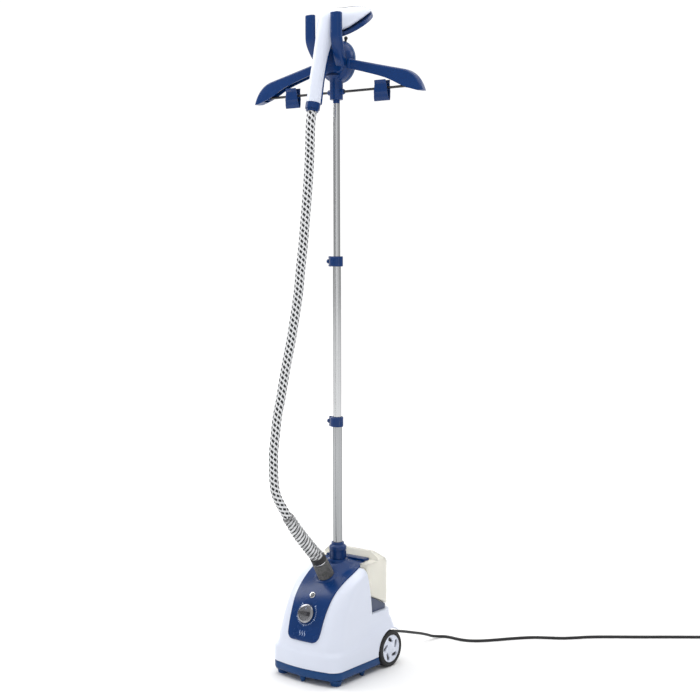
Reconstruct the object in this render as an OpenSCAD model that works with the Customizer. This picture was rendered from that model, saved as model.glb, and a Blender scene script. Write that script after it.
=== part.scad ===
// Upright garment steamer: a wheeled base with a lift-off water tank, a three-part telescopic
// mast, a hanger with two sliding clips, and a handset on a steam hose.
// Millimetres, +Z up. The origin is on the floor under the middle of the object.
// The front, with the dial, faces -Y. The mast stands at mast_y.

/* [Base] */
// Half of the base's width at the foot of the casing
base_half_w = 100; // [97:1:102]
// How far the front of the base lies ahead of the origin
base_front = 137; // [134:1:137]
// How far the back of the base lies behind the origin
base_rear = 120; // [118:1:122]
// Height of the seam between the tray and the casing
seam_z = 35; // [34:1:37]
// Thickness of the moulded walls
wall = 2.8; // [2.2:0.1:3.2]

/* [Wheels] */
// Radius of the rear wheels
wheel_r = 44; // [42:1:44]
// Width of the tyre
wheel_w = 24; // [22:1:24]
// Place of the axle behind the origin
axle_y = 88; // [86:1:89]
// Radius of the axle
axle_r = 4; // [3:0.5:4.5]

/* [Mast] */
// Place of the mast behind the origin
mast_y = 8; // [7:1:9]
// Outer radius of the lower tube
lower_r = 11; // [10.8:0.1:11.2]
// Outer radius of the middle tube
middle_r = 9.5; // [9.3:0.1:9.6]
// Outer radius of the upper tube
upper_r = 8; // [7.8:0.1:8.1]
// Wall of the three tubes
tube_wall = 1; // [0.8:0.1:1.1]
// Height of the middle of the lower clamp
lower_clamp_z = 599; // [595:1:605]
// Height of the middle of the upper clamp
upper_clamp_z = 981; // [975:1:985]
// Height of the lower edge of the hanger's collar
collar_z = 1358; // [1355:1:1360]

/* [Hanger] */
// Distance from the mast to each tip of the hanger
arm_reach = 250; // [246:1:254]
// Front to back thickness of the arms
arm_thick = 22; // [20:1:24]
// Radius of the bar that the clips slide on
bar_r = 3; // [2.5:0.5:3.5]
// Place of each clip along the bar
clip_x = 133; // [125:1:136]

/* [Handset] */
// Half of the width of the steam head
head_half_w = 33; // [31:1:35]
// Upward slope of the sole plate, in degrees
plate_tilt = 30; // [29:1:31]

/* [Cords] */
// Diameter of the steam hose
hose_d = 22; // [21:1:23]
// Diameter of the mains cord
cord_d = 7; // [6.5:0.5:7]

/* [Hidden] */

navy = [0.07, 0.13, 0.36];
white = [0.93, 0.94, 0.97];
silver = [0.75, 0.76, 0.77];
dark = [0.08, 0.08, 0.09];

gap = 0.3;            // clearance between pieces that move past each other
fit = 0.1;            // clearance between pieces that are fixed together
tray_z = 14;          // underside of the tray
ledge_z = 140;        // shelf behind the casing, on which the tank seat lies
tower_w = 60;         // half of the width of the casing's raised back, round the mast
tower_y = 36;         // back of that raised part
cover_t = 2.2;        // thickness of the cover over the casing
cover_top = 268;      // flat top of the boss round the mast
dial_c = [0, -109.5, 157];
dial_lean = 67;       // lean of the dial's axis from upright
lamp_c = [0, -86, 196];
lamp_lean = 53;
port_c = [0, -37, 235];
port_lean = 33;
tank_half_w = 84;
tank_rear = 106;
tank_top = 284;
valve_y = 68;
clamp_h = 24;
clamp_r = 14.5;
pin_r = 1.8;
pin_x = -20;
bar_z = 1376;
hub_r = 43;
hub_z = 1447;
hub_front = -7;
hub_back = 18;
plate_c = [0, 79, 1538.7];
plate_half_l = 67;
plate_t = 9;
cuff_c = [0, -77.5, 1344];
cuff_tilt = 13;
cuff_h = 20;

// Rows of the casing: height, half width, front, back, front corner radius, back corner
// radius and the bow of the front.
shell_rows = [
    [seam_z, base_half_w, -base_front, base_rear, 30, 28, 8],
    [66, base_half_w, -136, base_rear, 30, 28, 8],
    [73, 98.5, -134, base_rear, 33, 28, 7],
    [80, 95, -131.5, 119.5, 38, 28, 6],
    [90, 93, -130, 117, 38, 26, 5],
    [105, 92, -127, 113, 37, 25, 5],
    [122, 91, -121, 110.5, 37, 25, 5],
    [ledge_z, 90, -115, 109, 36, 25, 5]
];
// Rows of its upper part: height, half width, front, back beside the tank, corner radius
// and the bow of the front.
tower_rows = [
    [ledge_z + 0.6, 90, -114.8, 27, 36, 5],
    [160, 89.5, -106.5, 26, 36, 5],
    [180, 89, -96, 24, 36, 5],
    [195, 88.7, -85, 22, 35, 5],
    [208, 88.4, -71.5, 20, 30, 5],
    [220, 88, -55, 18, 25, 5],
    [231, 87, -37, 16, 24, 5],
    [240, 85, -18, 15, 24, 4],
    [247, 81, -1, 14, 10, 2],
    [251.5, 75, 9, 14, 1.5, 0]
];
// Rows of the cover: height, half width, and the front of the casing under it
cover_rows = [
    [97, 42, -128.4, 5], [105, 45.5, -127, 5], [122, 48, -121, 5], [ledge_z, 49.2, -115, 5],
    [160, 50.5, -106.5, 5], [180, 52.4, -96, 5], [195, 53.6, -85, 5], [208, 55, -71.5, 4.6],
    [220, 57, -55, 4], [231, 59, -37, 4], [240, 61, -18, 3.4], [247, 62, -1, 1.2], [252, 62, 13, 0],
    [259, tower_w, tower_y, 0]
];
// Route of the steam hose, from its guard up to the handset
hose_route = [
    [-29, -143, 390], [-34, -155, 412], [-38, -164, 430], [-41, -171, 450], [-42, -175, 475],
    [-42, -176, 505], [-42, -176, 540], [-40, -172, 582], [-38, -166, 628], [-34, -158, 670],
    [-29, -146, 738], [-23, -134, 800], [-19, -124, 857], [-15, -116, 912], [-13, -110, 967],
    [-10, -104, 1022], [-8, -99, 1077], [-6, -94, 1132], [-4, -90, 1187], [-2, -88, 1242],
    [-1, -87.8, 1275], [0, -87, 1300], [0, -84.8, 1312.5], [0, -82.2, 1324.2]
];
// Route of the coil guard over the hose's lower end
guard_route = [
    [0, -68.4, 283.4], [0, -71.6, 288.3], [-4, -80, 298.5], [-11, -96, 320], [-20, -118, 351],
    [-27, -137, 381], [-29, -143, 390]
];
// Route of the mains cord, from its gland over the floor to the coil
cord_route = [
    [62, 152, 65], [62, 166, 61.5], [62, 190, 55], [61, 213, 48], [60, 245, 38], [58, 277, 28],
    [57, 305, 18], [58, 328, 9], [63, 347, 4.5], [76, 359, 3.6], [94, 362, 3.6], [115, 361, 3.6],
    [140, 365, 3.6], [162, 378, 3.6], [182, 398, 3.6], [200, 420, 3.6], [220, 446, 3.6],
    [242, 472, 3.6], [266, 495, 3.6], [295, 513, 3.6], [326, 532, 3.6], [348, 554, 3.6],
    [372, 580, 3.6], [400, 604, 3.6], [440, 634, 3.6], [481, 664, 3.6], [521, 695, 3.6],
    [562, 726, 3.6], [604, 757, 3.6], [640, 783, 4], [664, 800, 4.5]
];
// Coil of the length that is put away, its tail and the plug
coil_c = [640, 834, 0];
coil_r = 38.5;
tie_t = 1;
tail_route = [
    [680, 820, 11.5], [685, 838, 11.6], [689, 856, 12.5], [692, 872, 14.5], [694, 886, 17],
    [695, 898, 18.5]
];
plug_c = [695, 898, 18.5];

// ---- functions ----
function unit(v) = v / norm(v);
function bezier(a, b, c, n) =
    [for (i = [0 : n]) let (t = i / n) (1 - t) * (1 - t) * a + 2 * t * (1 - t) * b + t * t * c];
function arc(c, r, a0, a1, n) =
    [for (i = [0 : n]) let (a = a0 + (a1 - a0) * i / n) [c[0] + r * cos(a), c[1] + r * sin(a)]];

// Half of the front of a casing row, from the middle out to the corner, as x and y
function front_points(a, f, r, bow, n) =
    [for (i = [-n : n]) let (x = (a - r) * i / n) [x, f + bow * i * i / n / n]];

// One ring of the lower casing, inset by t, with 37 points
function low_ring(row, t) =
    let (a = row[1] - t, f = row[2] + t, b = row[3] - t, rf = row[4] - t, rr = row[5] - t,
         bow = row[6])
    [for (p = concat(
        arc([a - rr, b - rr], rr, 0, 90, 5), arc([rr - a, b - rr], rr, 90, 180, 5),
        arc([rf - a, f + bow + rf], rf, 180, 261, 7),
        front_points(a, f, rf, bow, 4),
        arc([a - rf, f + bow + rf], rf, 279, 360, 7))) [p[0], p[1], row[0]]];

// One ring of the upper casing, inset by t, with the same number of points
function high_ring(row, t) =
    let (a = row[1] - t, f = row[2] + t, b = row[3] - t, bow = row[5],
         r = max(0.5, min(row[4] - t, b - 2.3 - f - bow)),
         w = tower_w - t, y = tower_y - t)
    [for (p = concat(
        [[a, b - 2], [a - 0.6, b - 0.6], [a - 2, b], [w + 1, b], [w, b + 1], [w, y]],
        [[-w, y], [-w, b + 1], [-w - 1, b], [2 - a, b], [0.6 - a, b - 0.6], [-a, b - 2]],
        arc([r - a, f + bow + r], r, 180, 261, 7),
        front_points(a, f, r, bow, 4),
        arc([a - r, f + bow + r], r, 279, 360, 7))) [p[0], p[1], row[0]]];

// Closed skin over a list of rings, with a flat cap at each end
module skin(rings, close_ring = false, strip = false) {
    n = len(rings[0]);
    m = len(rings);
    polyhedron(
        points = [for (r = rings) for (p = r) p],
        faces = concat(
            [for (k = [0 : m - (close_ring ? 1 : 2)]) for (i = [0 : n - 1])
                let (a = k * n, b = ((k + 1) % m) * n, j = (i + 1) % n)
                each [[a + i, b + i, b + j], [a + i, b + j, a + j]]],
            close_ring ? [] : strip ? [for (i = [0 : n / 2 - 2])
                each [[i, i + 1, n - 2 - i, n - 1 - i], [for (j = [n - 1 - i, n - 2 - i, i + 1, i]) (m - 1) * n + j]]] :
            [[for (i = [0 : n - 1]) i], [for (i = [n - 1 : -1 : 0]) (m - 1) * n + i]]
        ), convexity = 8);
}

// Round tube swept along a route, given a radius for each point and a side direction
module swept(route, radii, side, n = 10) {
    last = len(route) - 1;
    skin([for (k = [0 : last])
        let (t = unit(route[min(k + 1, last)] - route[max(k - 1, 0)]),
             u = unit(cross(side, t)), v = cross(t, u))
        [for (i = [0 : n - 1]) let (a = 360 * i / n)
            route[k] + radii[k] * (cos(a) * u + sin(a) * v)]]);
}

// Puts a child on the cover, with its +Z leaning forward from upright
module on_cover(c, lean) {
    translate(c) rotate([lean, 0, 0]) children();
}

module both_sides() {
    children();
    mirror([1, 0, 0]) children();
}

module ring(r_out, r_in, h) {
    difference() {
        cylinder(r = r_out, h = h, $fn = 64);
        translate([0, 0, -1]) cylinder(r = r_in, h = h + 2, $fn = 64);
    }
}

// Cylinder along X, centred on x
module rod_x(r, x, len) {
    translate([x - len / 2, 0, 0]) rotate([0, 90, 0]) cylinder(r = r, h = len, $fn = 48);
}

// ---- base ----
module wheel_space() {
    both_sides() translate([base_half_w - wheel_w - 4, axle_y, wheel_r])
        rotate([0, 90, 0]) cylinder(r = wheel_r + 6, h = 40, $fn = 96);
}

module tray_block(z0, z1, t) {
    ring_pts = [for (p = low_ring(shell_rows[0], t)) [p[0], p[1]]];
    translate([0, 0, z0]) linear_extrude(z1 - z0) polygon(ring_pts);
}

module base_tray() {
    well_x = base_half_w - wheel_w - 4;
    color(navy) difference() {
        union() {
            difference() {
                tray_block(tray_z, seam_z - fit, 0.5);
                tray_block(tray_z + 3, seam_z + 1, wall + 0.5);
            }
            // walls that close the wheel spaces and hold the axle
            both_sides() translate([well_x - wall - gap, axle_y - 40, tray_z + 2])
                cube([wall, 64, 76]);
            // socket that the mast stands in
            translate([0, mast_y, tray_z + 2]) cylinder(r = 16, h = 30, $fn = 64);
        }
        wheel_space();
        translate([0, mast_y, tray_z + 6]) cylinder(r = lower_r + fit, h = 40, $fn = 64);
        translate([0, axle_y, wheel_r]) rod_x(axle_r + 0.05, 0, 2 * base_half_w);
        for (p = screw_places) translate([p[0], p[1], 0]) cylinder(r = 2.1, h = 40, $fn = 32);
    }
}

screw_places = [[-54, -108], [54, -108], [-50, 96], [50, 96]];
module base_screws() {
    color(silver) for (p = screw_places) translate([p[0], p[1], tray_z - 2]) {
        cylinder(r = 3.6, h = 1.9, $fn = 32);
        cylinder(r = 1.9, h = 18, $fn = 32);
    }
}

module feet() {
    color(navy) {
        both_sides() translate([80, -102, 0]) cylinder(r1 = 13, r2 = 15, h = tray_z - fit, $fn = 48);
        both_sides() translate([84, -8, 0]) cylinder(r1 = 5, r2 = 8, h = tray_z - fit, $fn = 48);
        translate([0, -125, 0]) cylinder(r1 = 5, r2 = 8, h = tray_z - fit, $fn = 48);
    }
}

module body_shell() {
    top = len(tower_rows) - 1;
    outer = concat([for (r = shell_rows) low_ring(r, 0)], [for (r = tower_rows) high_ring(r, 0)]);
    inner = concat(
        [for (k = [top : -1 : 0]) high_ring(tower_rows[k], k == top ? 0.8 : wall)],
        [for (k = [len(shell_rows) - 1 : -1 : 0])
            [for (p = low_ring(shell_rows[k], wall)) p - [0, 0, k > len(shell_rows) - 2 ? wall : 0]]]);
    color(white) difference() {
        skin(concat(outer, inner), true);
        wheel_space();
        // slot under the cover, for the controls, the steam port and the mast
        translate([0, tower_y - 4, 0]) rotate([90, 0, 0]) linear_extrude(180)
            polygon([[-36, 116], [36, 116], [47, 200], [50, 262], [-50, 262], [-47, 200]]);
        translate([0, valve_y, ledge_z - 10]) cylinder(r = 7, h = 20, $fn = 48);
    }
}

// Points across the cover at one row, lifted off the casing by h along the slope
function cover_line(k, h) =
    let (r = cover_rows[k], last = len(cover_rows) - 1,
         a = cover_rows[max(k - 1, 0)], b = cover_rows[min(k + 1, last)],
         t = unit([b[2] - a[2], b[0] - a[0]]))
    [for (i = [-6 : 6]) let (x = r[1] * i / 6)
        [x, r[2] - h * t[1] + r[3] * pow(x / 56, 2), r[0] + h * t[0]]];

module top_cover() {
    rings = [for (k = [0 : len(cover_rows) - 1])
        let (low = cover_line(k, 0.95), high = cover_line(k, 0.95 + cover_t))
        concat(high, [for (i = [len(low) - 1 : -1 : 0]) low[i]])];
    color(navy) difference() {
        union() {
            skin(rings, strip = true);
            on_cover(port_c, port_lean) translate([0, 0, -8]) cylinder(r = 25, h = 10, $fn = 64);
            translate([0, mast_y, 251.9]) cylinder(r = 25, h = cover_top - 251.9, $fn = 64);
        }
        on_cover(dial_c, dial_lean) translate([0, 0, -12]) cylinder(r = 3.6, h = 30, $fn = 32);
        on_cover(lamp_c, lamp_lean) translate([0, 0, -12]) cylinder(r = 6.1, h = 30, $fn = 32);
        on_cover(port_c, port_lean) translate([0, 0, -20]) cylinder(r = 12, h = 40, $fn = 48);
        translate([0, mast_y, 230]) cylinder(r = lower_r + 0.2, h = 60, $fn = 64);
    }
}

// Raised seat under the tank, with its slope towards the back
module tank_seat() {
    color([0.30, 0.36, 0.50]) difference() {
        translate([tank_half_w - 4, 0, 0]) rotate([0, -90, 0]) linear_extrude(2 * tank_half_w - 8)
            polygon([[ledge_z + 1, 28.5], [ledge_z + 1, 104], [149, 104], [152, 92], [163, 72],
                [172, 52], [178, 38], [181, 28.5]]);
        translate([-tower_w - 1, 0, ledge_z]) cube([2 * tower_w + 2, tower_y + 1, 60]);
        translate([0, valve_y, 148]) cylinder(r = 17, h = 40, $fn = 48);
        translate([0, valve_y, 130]) cylinder(r = 5, h = 40, $fn = 32);
    }
}

module axle() {
    color(silver) translate([0, axle_y, wheel_r]) rod_x(axle_r, 0, 2 * base_half_w - 6);
}

// ---- inside the base ----
module boiler_body() {
    color(silver) difference() {
        union() {
            translate([-45, -100, 38]) cube([90, 90, 46]);
            for (x = [-39, 39], y = [-94, -16]) translate([x, y, tray_z + 3.1]) cylinder(r = 5, h = 24, $fn = 32);
        }
        translate([0, -30, 60]) cylinder(r = 6.2, h = 40, $fn = 32);
        translate([-30, -30, 55]) rotate([-90, 0, 0]) cylinder(r = 4.6, h = 40, $fn = 32);
    }
}

module heating_element() {
    color(dark) translate([0, -62, 33.9]) {
        rotate([0, 0, 180]) rotate_extrude(angle = 180, $fn = 64) translate([28, 0]) circle(r = 4, $fn = 32);
        for (x = [-28, 28]) translate([x, 0, 0]) rotate([-90, 0, 0]) cylinder(r = 4, h = 46, $fn = 32);
    }
}

module thermostat() {
    color(silver) translate([24, -70, 84.2]) {
        cylinder(r = 9, h = 6, $fn = 48);
        cylinder(r = 4, h = 9, $fn = 32);
    }
}

module thermal_fuse() {
    color(white) translate([-24, -80, 87.4]) rotate([-90, 0, 0]) cylinder(r = 3, h = 24, $fn = 32);
}

module feed_tube() {
    color([0.85, 0.82, 0.75]) swept(
        [[0, valve_y, 146], [0, valve_y, 122], [-12, 58, 100], [-26, 40, 78], [-30, 20, 61],
            [-30, 2, 55], [-30, -16, 55]],
        [for (i = [0 : 6]) 4.4], [1, 0.4, 0]);
}

module steam_pipe() {
    color(silver) swept(
        [[0, -30, 62], [0, -30, 100], [0, -26, 150], [0, -20, 185], [0, -20.5, 204],
            [0, -25, 216.5], [0, -31.5, 226.6], [0, -34.8, 231.6]],
        [for (i = [0 : 7]) 5.9], [1, 0, 0], 12);
}

module rotary_switch() {
    color(dark) on_cover(dial_c, dial_lean) difference() {
        union() {
            translate([-15, -13, -38]) cube([30, 26, 28]);
            translate([0, 0, -11]) cylinder(r = 8, h = 7.4, $fn = 32);
        }
        translate([0, 0, -34]) cylinder(r = 3.1, h = 40, $fn = 32);
    }
}

module terminal_block() {
    color(white) difference() {
        translate([30, 60, tray_z + 3.1]) cube([30, 14, 16]);
        for (x = [38, 52]) translate([x, 50, tray_z + 12])
            rotate([-90, 0, 0]) cylinder(r = 2.5, h = 40, $fn = 24);
    }
}

module cord_clamp() {
    color(dark) difference() {
        translate([50, 98, 52]) cube([18.4, 12, 24]);
        translate([62, 90, 64]) rotate([-90, 0, 0]) cylinder(r = 3.8, h = 40, $fn = 32);
    }
}

module cord_gland() {
    color(dark) translate([62, base_rear + 0.2, 66]) rotate([-92, 0, 0]) {
        cylinder(r = 8, h = 3, $fn = 48);
        cylinder(r1 = 6.5, r2 = 4.4, h = 31, $fn = 48);
    }
}

// ---- controls and steam port ----
module indicator_lens() {
    color([0.9, 0.88, 0.8]) on_cover(lamp_c, lamp_lean) {
        translate([0, 0, -6]) cylinder(r = 6, h = 7.4, $fn = 48);
        translate([0, 0, 1.4]) cylinder(r1 = 6, r2 = 4, h = 1.4, $fn = 48);
    }
}

module dial_knob() {
    color([0.55, 0.55, 0.56]) on_cover(dial_c, dial_lean) difference() {
        union() {
            translate([0, 0, -32]) cylinder(r = 3, h = 36, $fn = 32);
            translate([0, 0, 2.2]) cylinder(r = 20.5, h = 6, $fn = 96);
            translate([0, 0, 8.1]) cylinder(r = 17, h = 3, $fn = 96);
            translate([-17, -4, 8]) cube([34, 8, 13]);
        }
        translate([-1, 11, 8]) cube([2, 8, 5]);
    }
}

module hose_connector() {
    color([0.32, 0.31, 0.29, 0.7]) on_cover(port_c, port_lean) difference() {
        union() {
            translate([0, 0, 2.2]) cylinder(r1 = 20, r2 = 18, h = 42, $fn = 64);
            for (z = [6 : 6 : 38]) translate([0, 0, z]) cylinder(r = 20.5 - z / 24, h = 2.4, $fn = 64);
            translate([0, 0, -9.9]) cylinder(r = 11.8, h = 14, $fn = 48);
        }
        translate([0, 0, -12]) cylinder(r = 6.1, h = 70, $fn = 48);
    }
}

module hose_ring() {
    on_cover(port_c, port_lean) {
        color(silver) translate([0, 0, 44.3]) cylinder(r = 15.5, h = 5, $fn = 64);
        color(dark) translate([0, 0, 49.3]) cylinder(r = 17, h = 8, $fn = 64);
    }
}

module hose_guard() {
    color(silver) swept(guard_route, [17, 17, 17, 17, 16.5, 16, 14], [1, 0, 0], 12);
}

// ---- mast ----
module tube(r, z0, z1) {
    translate([0, mast_y, z0]) ring(r, r - tube_wall, z1 - z0);
}

module lower_tube() { color(silver) tube(lower_r, tray_z + 6.2, lower_clamp_z + 4); }
module middle_tube() { color(silver) tube(middle_r, 540, upper_clamp_z + 4); }
module upper_tube() { color(silver) tube(upper_r, 920, collar_z + 34); }

// Nut that grips the lower tube where it enters the base
module lock_nut() {
    color(navy) translate([0, mast_y, cover_top + gap]) difference() {
        union() {
            cylinder(r = 20, h = 25, $fn = 96);
            translate([0, 0, 25]) cylinder(r1 = 20, r2 = 15, h = 9, $fn = 96);
            translate([0, 0, 34]) cylinder(r = 15, h = 6, $fn = 96);
            for (a = [0 : 30 : 330]) rotate([0, 0, a]) translate([19.3, 0, 2]) cylinder(r = 2, h = 21, $fn = 24);
        }
        translate([0, 0, -1]) cylinder(r = lower_r + gap, h = 60, $fn = 64);
    }
}

// Clamp body: a split ring with two ears, fixed on the wider tube
module clamp_body(z, r_low, r_high) {
    color(navy) translate([0, mast_y, z - clamp_h / 2]) difference() {
        union() {
            cylinder(r = clamp_r, h = clamp_h, $fn = 96);
            for (h = [0, clamp_h - 5]) translate([0, 0, h]) {
                translate([pin_x, 0, 0]) cylinder(r = 4.4, h = 5, $fn = 48);
                translate([pin_x, -4.4, 0]) cube([10, 8.8, 5]);
            }
        }
        translate([0, 0, -1]) cylinder(r = r_low + fit, h = clamp_h / 2 + 5.2, $fn = 64);
        translate([0, 0, 1]) cylinder(r = r_high + gap, h = clamp_h, $fn = 64);
        translate([pin_x, 0, -1]) cylinder(r = pin_r + 0.05, h = clamp_h + 2, $fn = 32);
    }
}

module clamp_pin(z) {
    color(silver) translate([pin_x, mast_y, z - clamp_h / 2 - 0.5]) cylinder(r = pin_r, h = clamp_h + 1, $fn = 32);
}

// Lever that wraps round the front of the clamp and turns on its pin
module clamp_lever(z) {
    color(navy) translate([0, mast_y, z - clamp_h / 2]) difference() {
        union() {
            translate([pin_x, 0, 5 + gap]) cylinder(r = 4.4, h = clamp_h - 10 - 2 * gap, $fn = 48);
            translate([0, 0, 1]) rotate([0, 0, 198]) rotate_extrude(angle = 130, $fn = 96)
                translate([clamp_r + gap, 0]) square([3.4, clamp_h - 2]);
            translate([pin_x, 0, 5 + gap]) rotate([0, 0, -60]) translate([0, -2.5, 0])
                cube([8, 5, clamp_h - 10 - 2 * gap]);
            translate([pin_x - 9.5, -3.6, clamp_h / 2 - 5]) cube([7, 7.2, 10]);
        }
        translate([pin_x, 0, -1]) cylinder(r = pin_r + 0.05, h = clamp_h + 2, $fn = 32);
        cylinder(r = clamp_r + gap, h = clamp_h, $fn = 96);
    }
}

module lower_clamp() { clamp_body(lower_clamp_z, lower_r, middle_r); }
module upper_clamp() { clamp_body(upper_clamp_z, middle_r, upper_r); }
module lower_clamp_pin() { clamp_pin(lower_clamp_z); }
module upper_clamp_pin() { clamp_pin(upper_clamp_z); }
module lower_lever() { clamp_lever(lower_clamp_z); }
module upper_lever() { clamp_lever(upper_clamp_z); }

// ---- wheels ----
module wheel_place(side) {
    translate([side * (base_half_w + 2 - wheel_w / 2), axle_y, wheel_r])
        rotate([0, side * 90, 0]) children();
}

module tyre(side) {
    color(dark) wheel_place(side) rotate_extrude($fn = 96)
        polygon(concat([[34, -wheel_w / 2]], arc([wheel_r - 5, 5 - wheel_w / 2], 5, -90, 0, 6),
            arc([wheel_r - 5, wheel_w / 2 - 5], 5, 0, 90, 6), [[34, wheel_w / 2]]));
}

module hubcap(side) {
    color(white) wheel_place(side) difference() {
        union() {
            translate([0, 0, 6]) cylinder(r = 33.9, h = wheel_w / 2 - 4, $fn = 96);
            translate([0, 0, -wheel_w / 2]) ring(33.9, 30, wheel_w);
            translate([0, 0, -wheel_w / 2]) cylinder(r = 9, h = wheel_w / 2 + 7, $fn = 48);
        }
        for (a = [0 : 72 : 288]) rotate([0, 0, a]) translate([22, -7, 4]) rotate([0, 0, 25])
            cube([5, 16, 20]);
        translate([0, 0, -wheel_w]) cylinder(r = axle_r + 0.06, h = wheel_w + 7, $fn = 48);
    }
}

module tyre_left() { tyre(-1); }
module tyre_right() { tyre(1); }
module hubcap_left() { hubcap(-1); }
module hubcap_right() { hubcap(1); }

// ---- hanger ----
module oblong_y(r, y0, y1) {
    translate([0, y1, hub_z]) rotate([90, 0, 0]) linear_extrude(y1 - y0) union() {
        for (s = [-6, 6]) translate([0, s]) circle(r = r, $fn = 96);
        square([2 * r, 12], center = true);
    }
}

module arm_roots(extra) {
    both_sides() translate([34 - extra, mast_y - 9 - extra, 1424 - extra])
        cube([20, 18 + 2 * extra, 22 + 2 * extra]);
}

module hanger_hub() {
    color(navy) difference() {
        union() {
            difference() {
                oblong_y(hub_r, hub_front, hub_back);
                oblong_y(hub_r - 4, hub_front + 4, hub_back + 1);
            }
            translate([0, mast_y, collar_z]) cylinder(r = 15.5, h = 50, $fn = 96);
            translate([0, mast_y, bar_z]) rod_x(6, 0, 48);
        }
        arm_roots(fit);
        translate([0, mast_y, collar_z - 1]) cylinder(r = upper_r + fit, h = 60, $fn = 64);
        translate([0, mast_y, bar_z]) both_sides() rod_x(bar_r + fit, 28, 24);
    }
}

module hub_cover() {
    color(navy) difference() {
        union() {
            oblong_y(hub_r, hub_back + fit, 26);
            oblong_y(hub_r - 5, 26, 30);
        }
        oblong_y(hub_r - 8, hub_back, 25);
        translate([0, mast_y, collar_z]) cylinder(r = 15.8, h = 52, $fn = 96);
    }
}

module handset_cradle() {
    color(navy) {
        translate([-40, hub_front - 5, 1430]) cube([80, 5 - fit, 44]);
        both_sides() {
            hull() {
                translate([29, -42, 1490]) cylinder(r = 5.4, h = 60, $fn = 32);
                translate([44.5, -41.5, 1490]) cylinder(r = 5.9, h = 60, $fn = 32);
                translate([45.5, -35.5, 1490]) cylinder(r = 5, h = 60, $fn = 32);
            }
            hull() {
                translate([29, -42, 1490]) cylinder(r = 5.4, h = 6, $fn = 32);
                translate([44.5, -41.5, 1490]) cylinder(r = 5.9, h = 6, $fn = 32);
                translate([45.5, -35.5, 1490]) cylinder(r = 5, h = 6, $fn = 32);
                translate([24, hub_front - 5, 1440]) cube([16, 4, 33]);
            }
        }
    }
}

module rest_pegs() {
    color(dark) both_sides() {
        translate([14, 24, 1488]) rotate([-12, 0, 0]) cylinder(r = 3, h = 15, $fn = 32);
        translate([14, 27, 1502.9]) sphere(r = 4.5, $fn = 32);
    }
}

// One arm of the hanger: a hollow shoulder, open below
module arm_side() {
    top = concat([[46, 1448.3], [120, 1431.5], [196, 1414.3]],
        bezier([196, 1414.3], [236, 1405], [arm_reach, 1362.5], 8));
    low = [[arm_reach - 14, 1363.5], [212, 1369], [190, 1379], [142, 1400], [46, 1426.5]];
    inner = concat([[58, 1441.5], [120, 1427.5], [194, 1410.3]],
        bezier([194, 1410.3], [225, 1403], [arm_reach - 12, 1360], 8),
        [[205, 1360], [150, 1390], [58, 1415]]);
    difference() {
        union() {
            translate([0, mast_y + arm_thick / 2, 0]) rotate([90, 0, 0])
                linear_extrude(arm_thick) polygon(concat(top, low));
            translate([34, mast_y - 9, 1424]) cube([20.5, 18, 22]);
        }
        translate([0, mast_y + arm_thick / 2 - 3, 0]) rotate([90, 0, 0])
            linear_extrude(arm_thick - 6) polygon(inner);
    }
    // lug that holds the end of the clip bar
    difference() {
        translate([204, mast_y - arm_thick / 2 + 3, 1371]) cube([8, arm_thick - 6, 20]);
        translate([0, mast_y, bar_z]) rod_x(bar_r + fit, 200, 20);
    }
}

module arm_right() { color(navy) arm_side(); }
module arm_left() { color(navy) mirror([1, 0, 0]) arm_side(); }

module clip_bars() {
    color(dark) translate([0, mast_y, bar_z]) both_sides() rod_x(bar_r, 113.2, 192.4);
}

// Half of a clip: a grip above, a jaw below, and knuckles on the bar. The front half has one
// knuckle in the middle and the back half has one at each side.
module clip_half(front) {
    s = front ? -1 : 1;
    line = [[8.4, 18.5], [6.4, 6], [6.4, -7], [5, -14], [1.6, -28.6]];
    difference() {
        union() {
            intersection() {
                translate([-25, 0, 0]) rotate([90, 0, 90]) linear_extrude(50) polygon(concat(
                    [for (p = line) [s * (p[0] - 1.3), p[1]]],
                    [for (i = [4 : -1 : 0]) [s * (line[i][0] + 1.3), line[i][1]]]));
                translate([0, 20, 0]) rotate([90, 0, 0]) linear_extrude(40)
                    polygon([[-18, 30], [18, 30], [18, -8], [21, -30], [-21, -30], [-18, -8]]);
            }
            if (front) rod_x(4.9, 0, 10);
            if (front) translate([-5, -6.2, -3.5]) cube([10, 4, 7]);
            if (!front) both_sides() rod_x(4.9, 12.5, 9);
            if (!front) both_sides() translate([8.2, 2.2, -3.5]) cube([8.6, 4, 7]);
        }
        rod_x(bar_r + 0.08, 0, 60);
    }
}

module clip_at(side) { translate([side * clip_x, mast_y, bar_z]) children(); }
module clip_back_left() { color(navy) clip_at(-1) clip_half(false); }
module clip_back_right() { color(navy) clip_at(1) clip_half(false); }
module clip_front_left() { color(navy) clip_at(-1) clip_half(true); }
module clip_front_right() { color(navy) clip_at(1) clip_half(true); }

// ---- handset ----
// Sections of the handset: y and z of its front and back edges, and half its width
handset_rows = [
    [[-93.6, 1347.7], [-61.4, 1340.3], 15.5], [[-82.5, 1400], [-50.5, 1392], 15],
    [[-69, 1452], [-37, 1443], 15.5], [[-59, 1493], [-23, 1477], 18], [[-50, 1524], [-11, 1503.5], 22],
    [[-39, 1552], [10, 1516.5], 26], [[-12, 1565], [35, 1524.5], 30], [[35, 1574], [58, 1537.1], 32.5],
    [[72, 1582], [85, 1552.7], 31], [[100, 1584.5], [109, 1566.6], 25],
    [[119, 1585.5], [123, 1574.8], 16], [[130, 1582], [131.5, 1579.8], 7]
];

// Point at angle a of a section, moved outward by t; the back edge is squarer than the front
function handset_point(row, a, t) =
    let (c = (row[0] + row[1]) / 2, h = (row[0] - row[1]) / 2, g = h + unit(h) * t,
         s = sin(a), k = s < 0 ? -pow(-s, 0.7) : s)
    [(row[2] + t) * cos(a), c[0] + g[0] * k, c[1] + g[1] * k];

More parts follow.
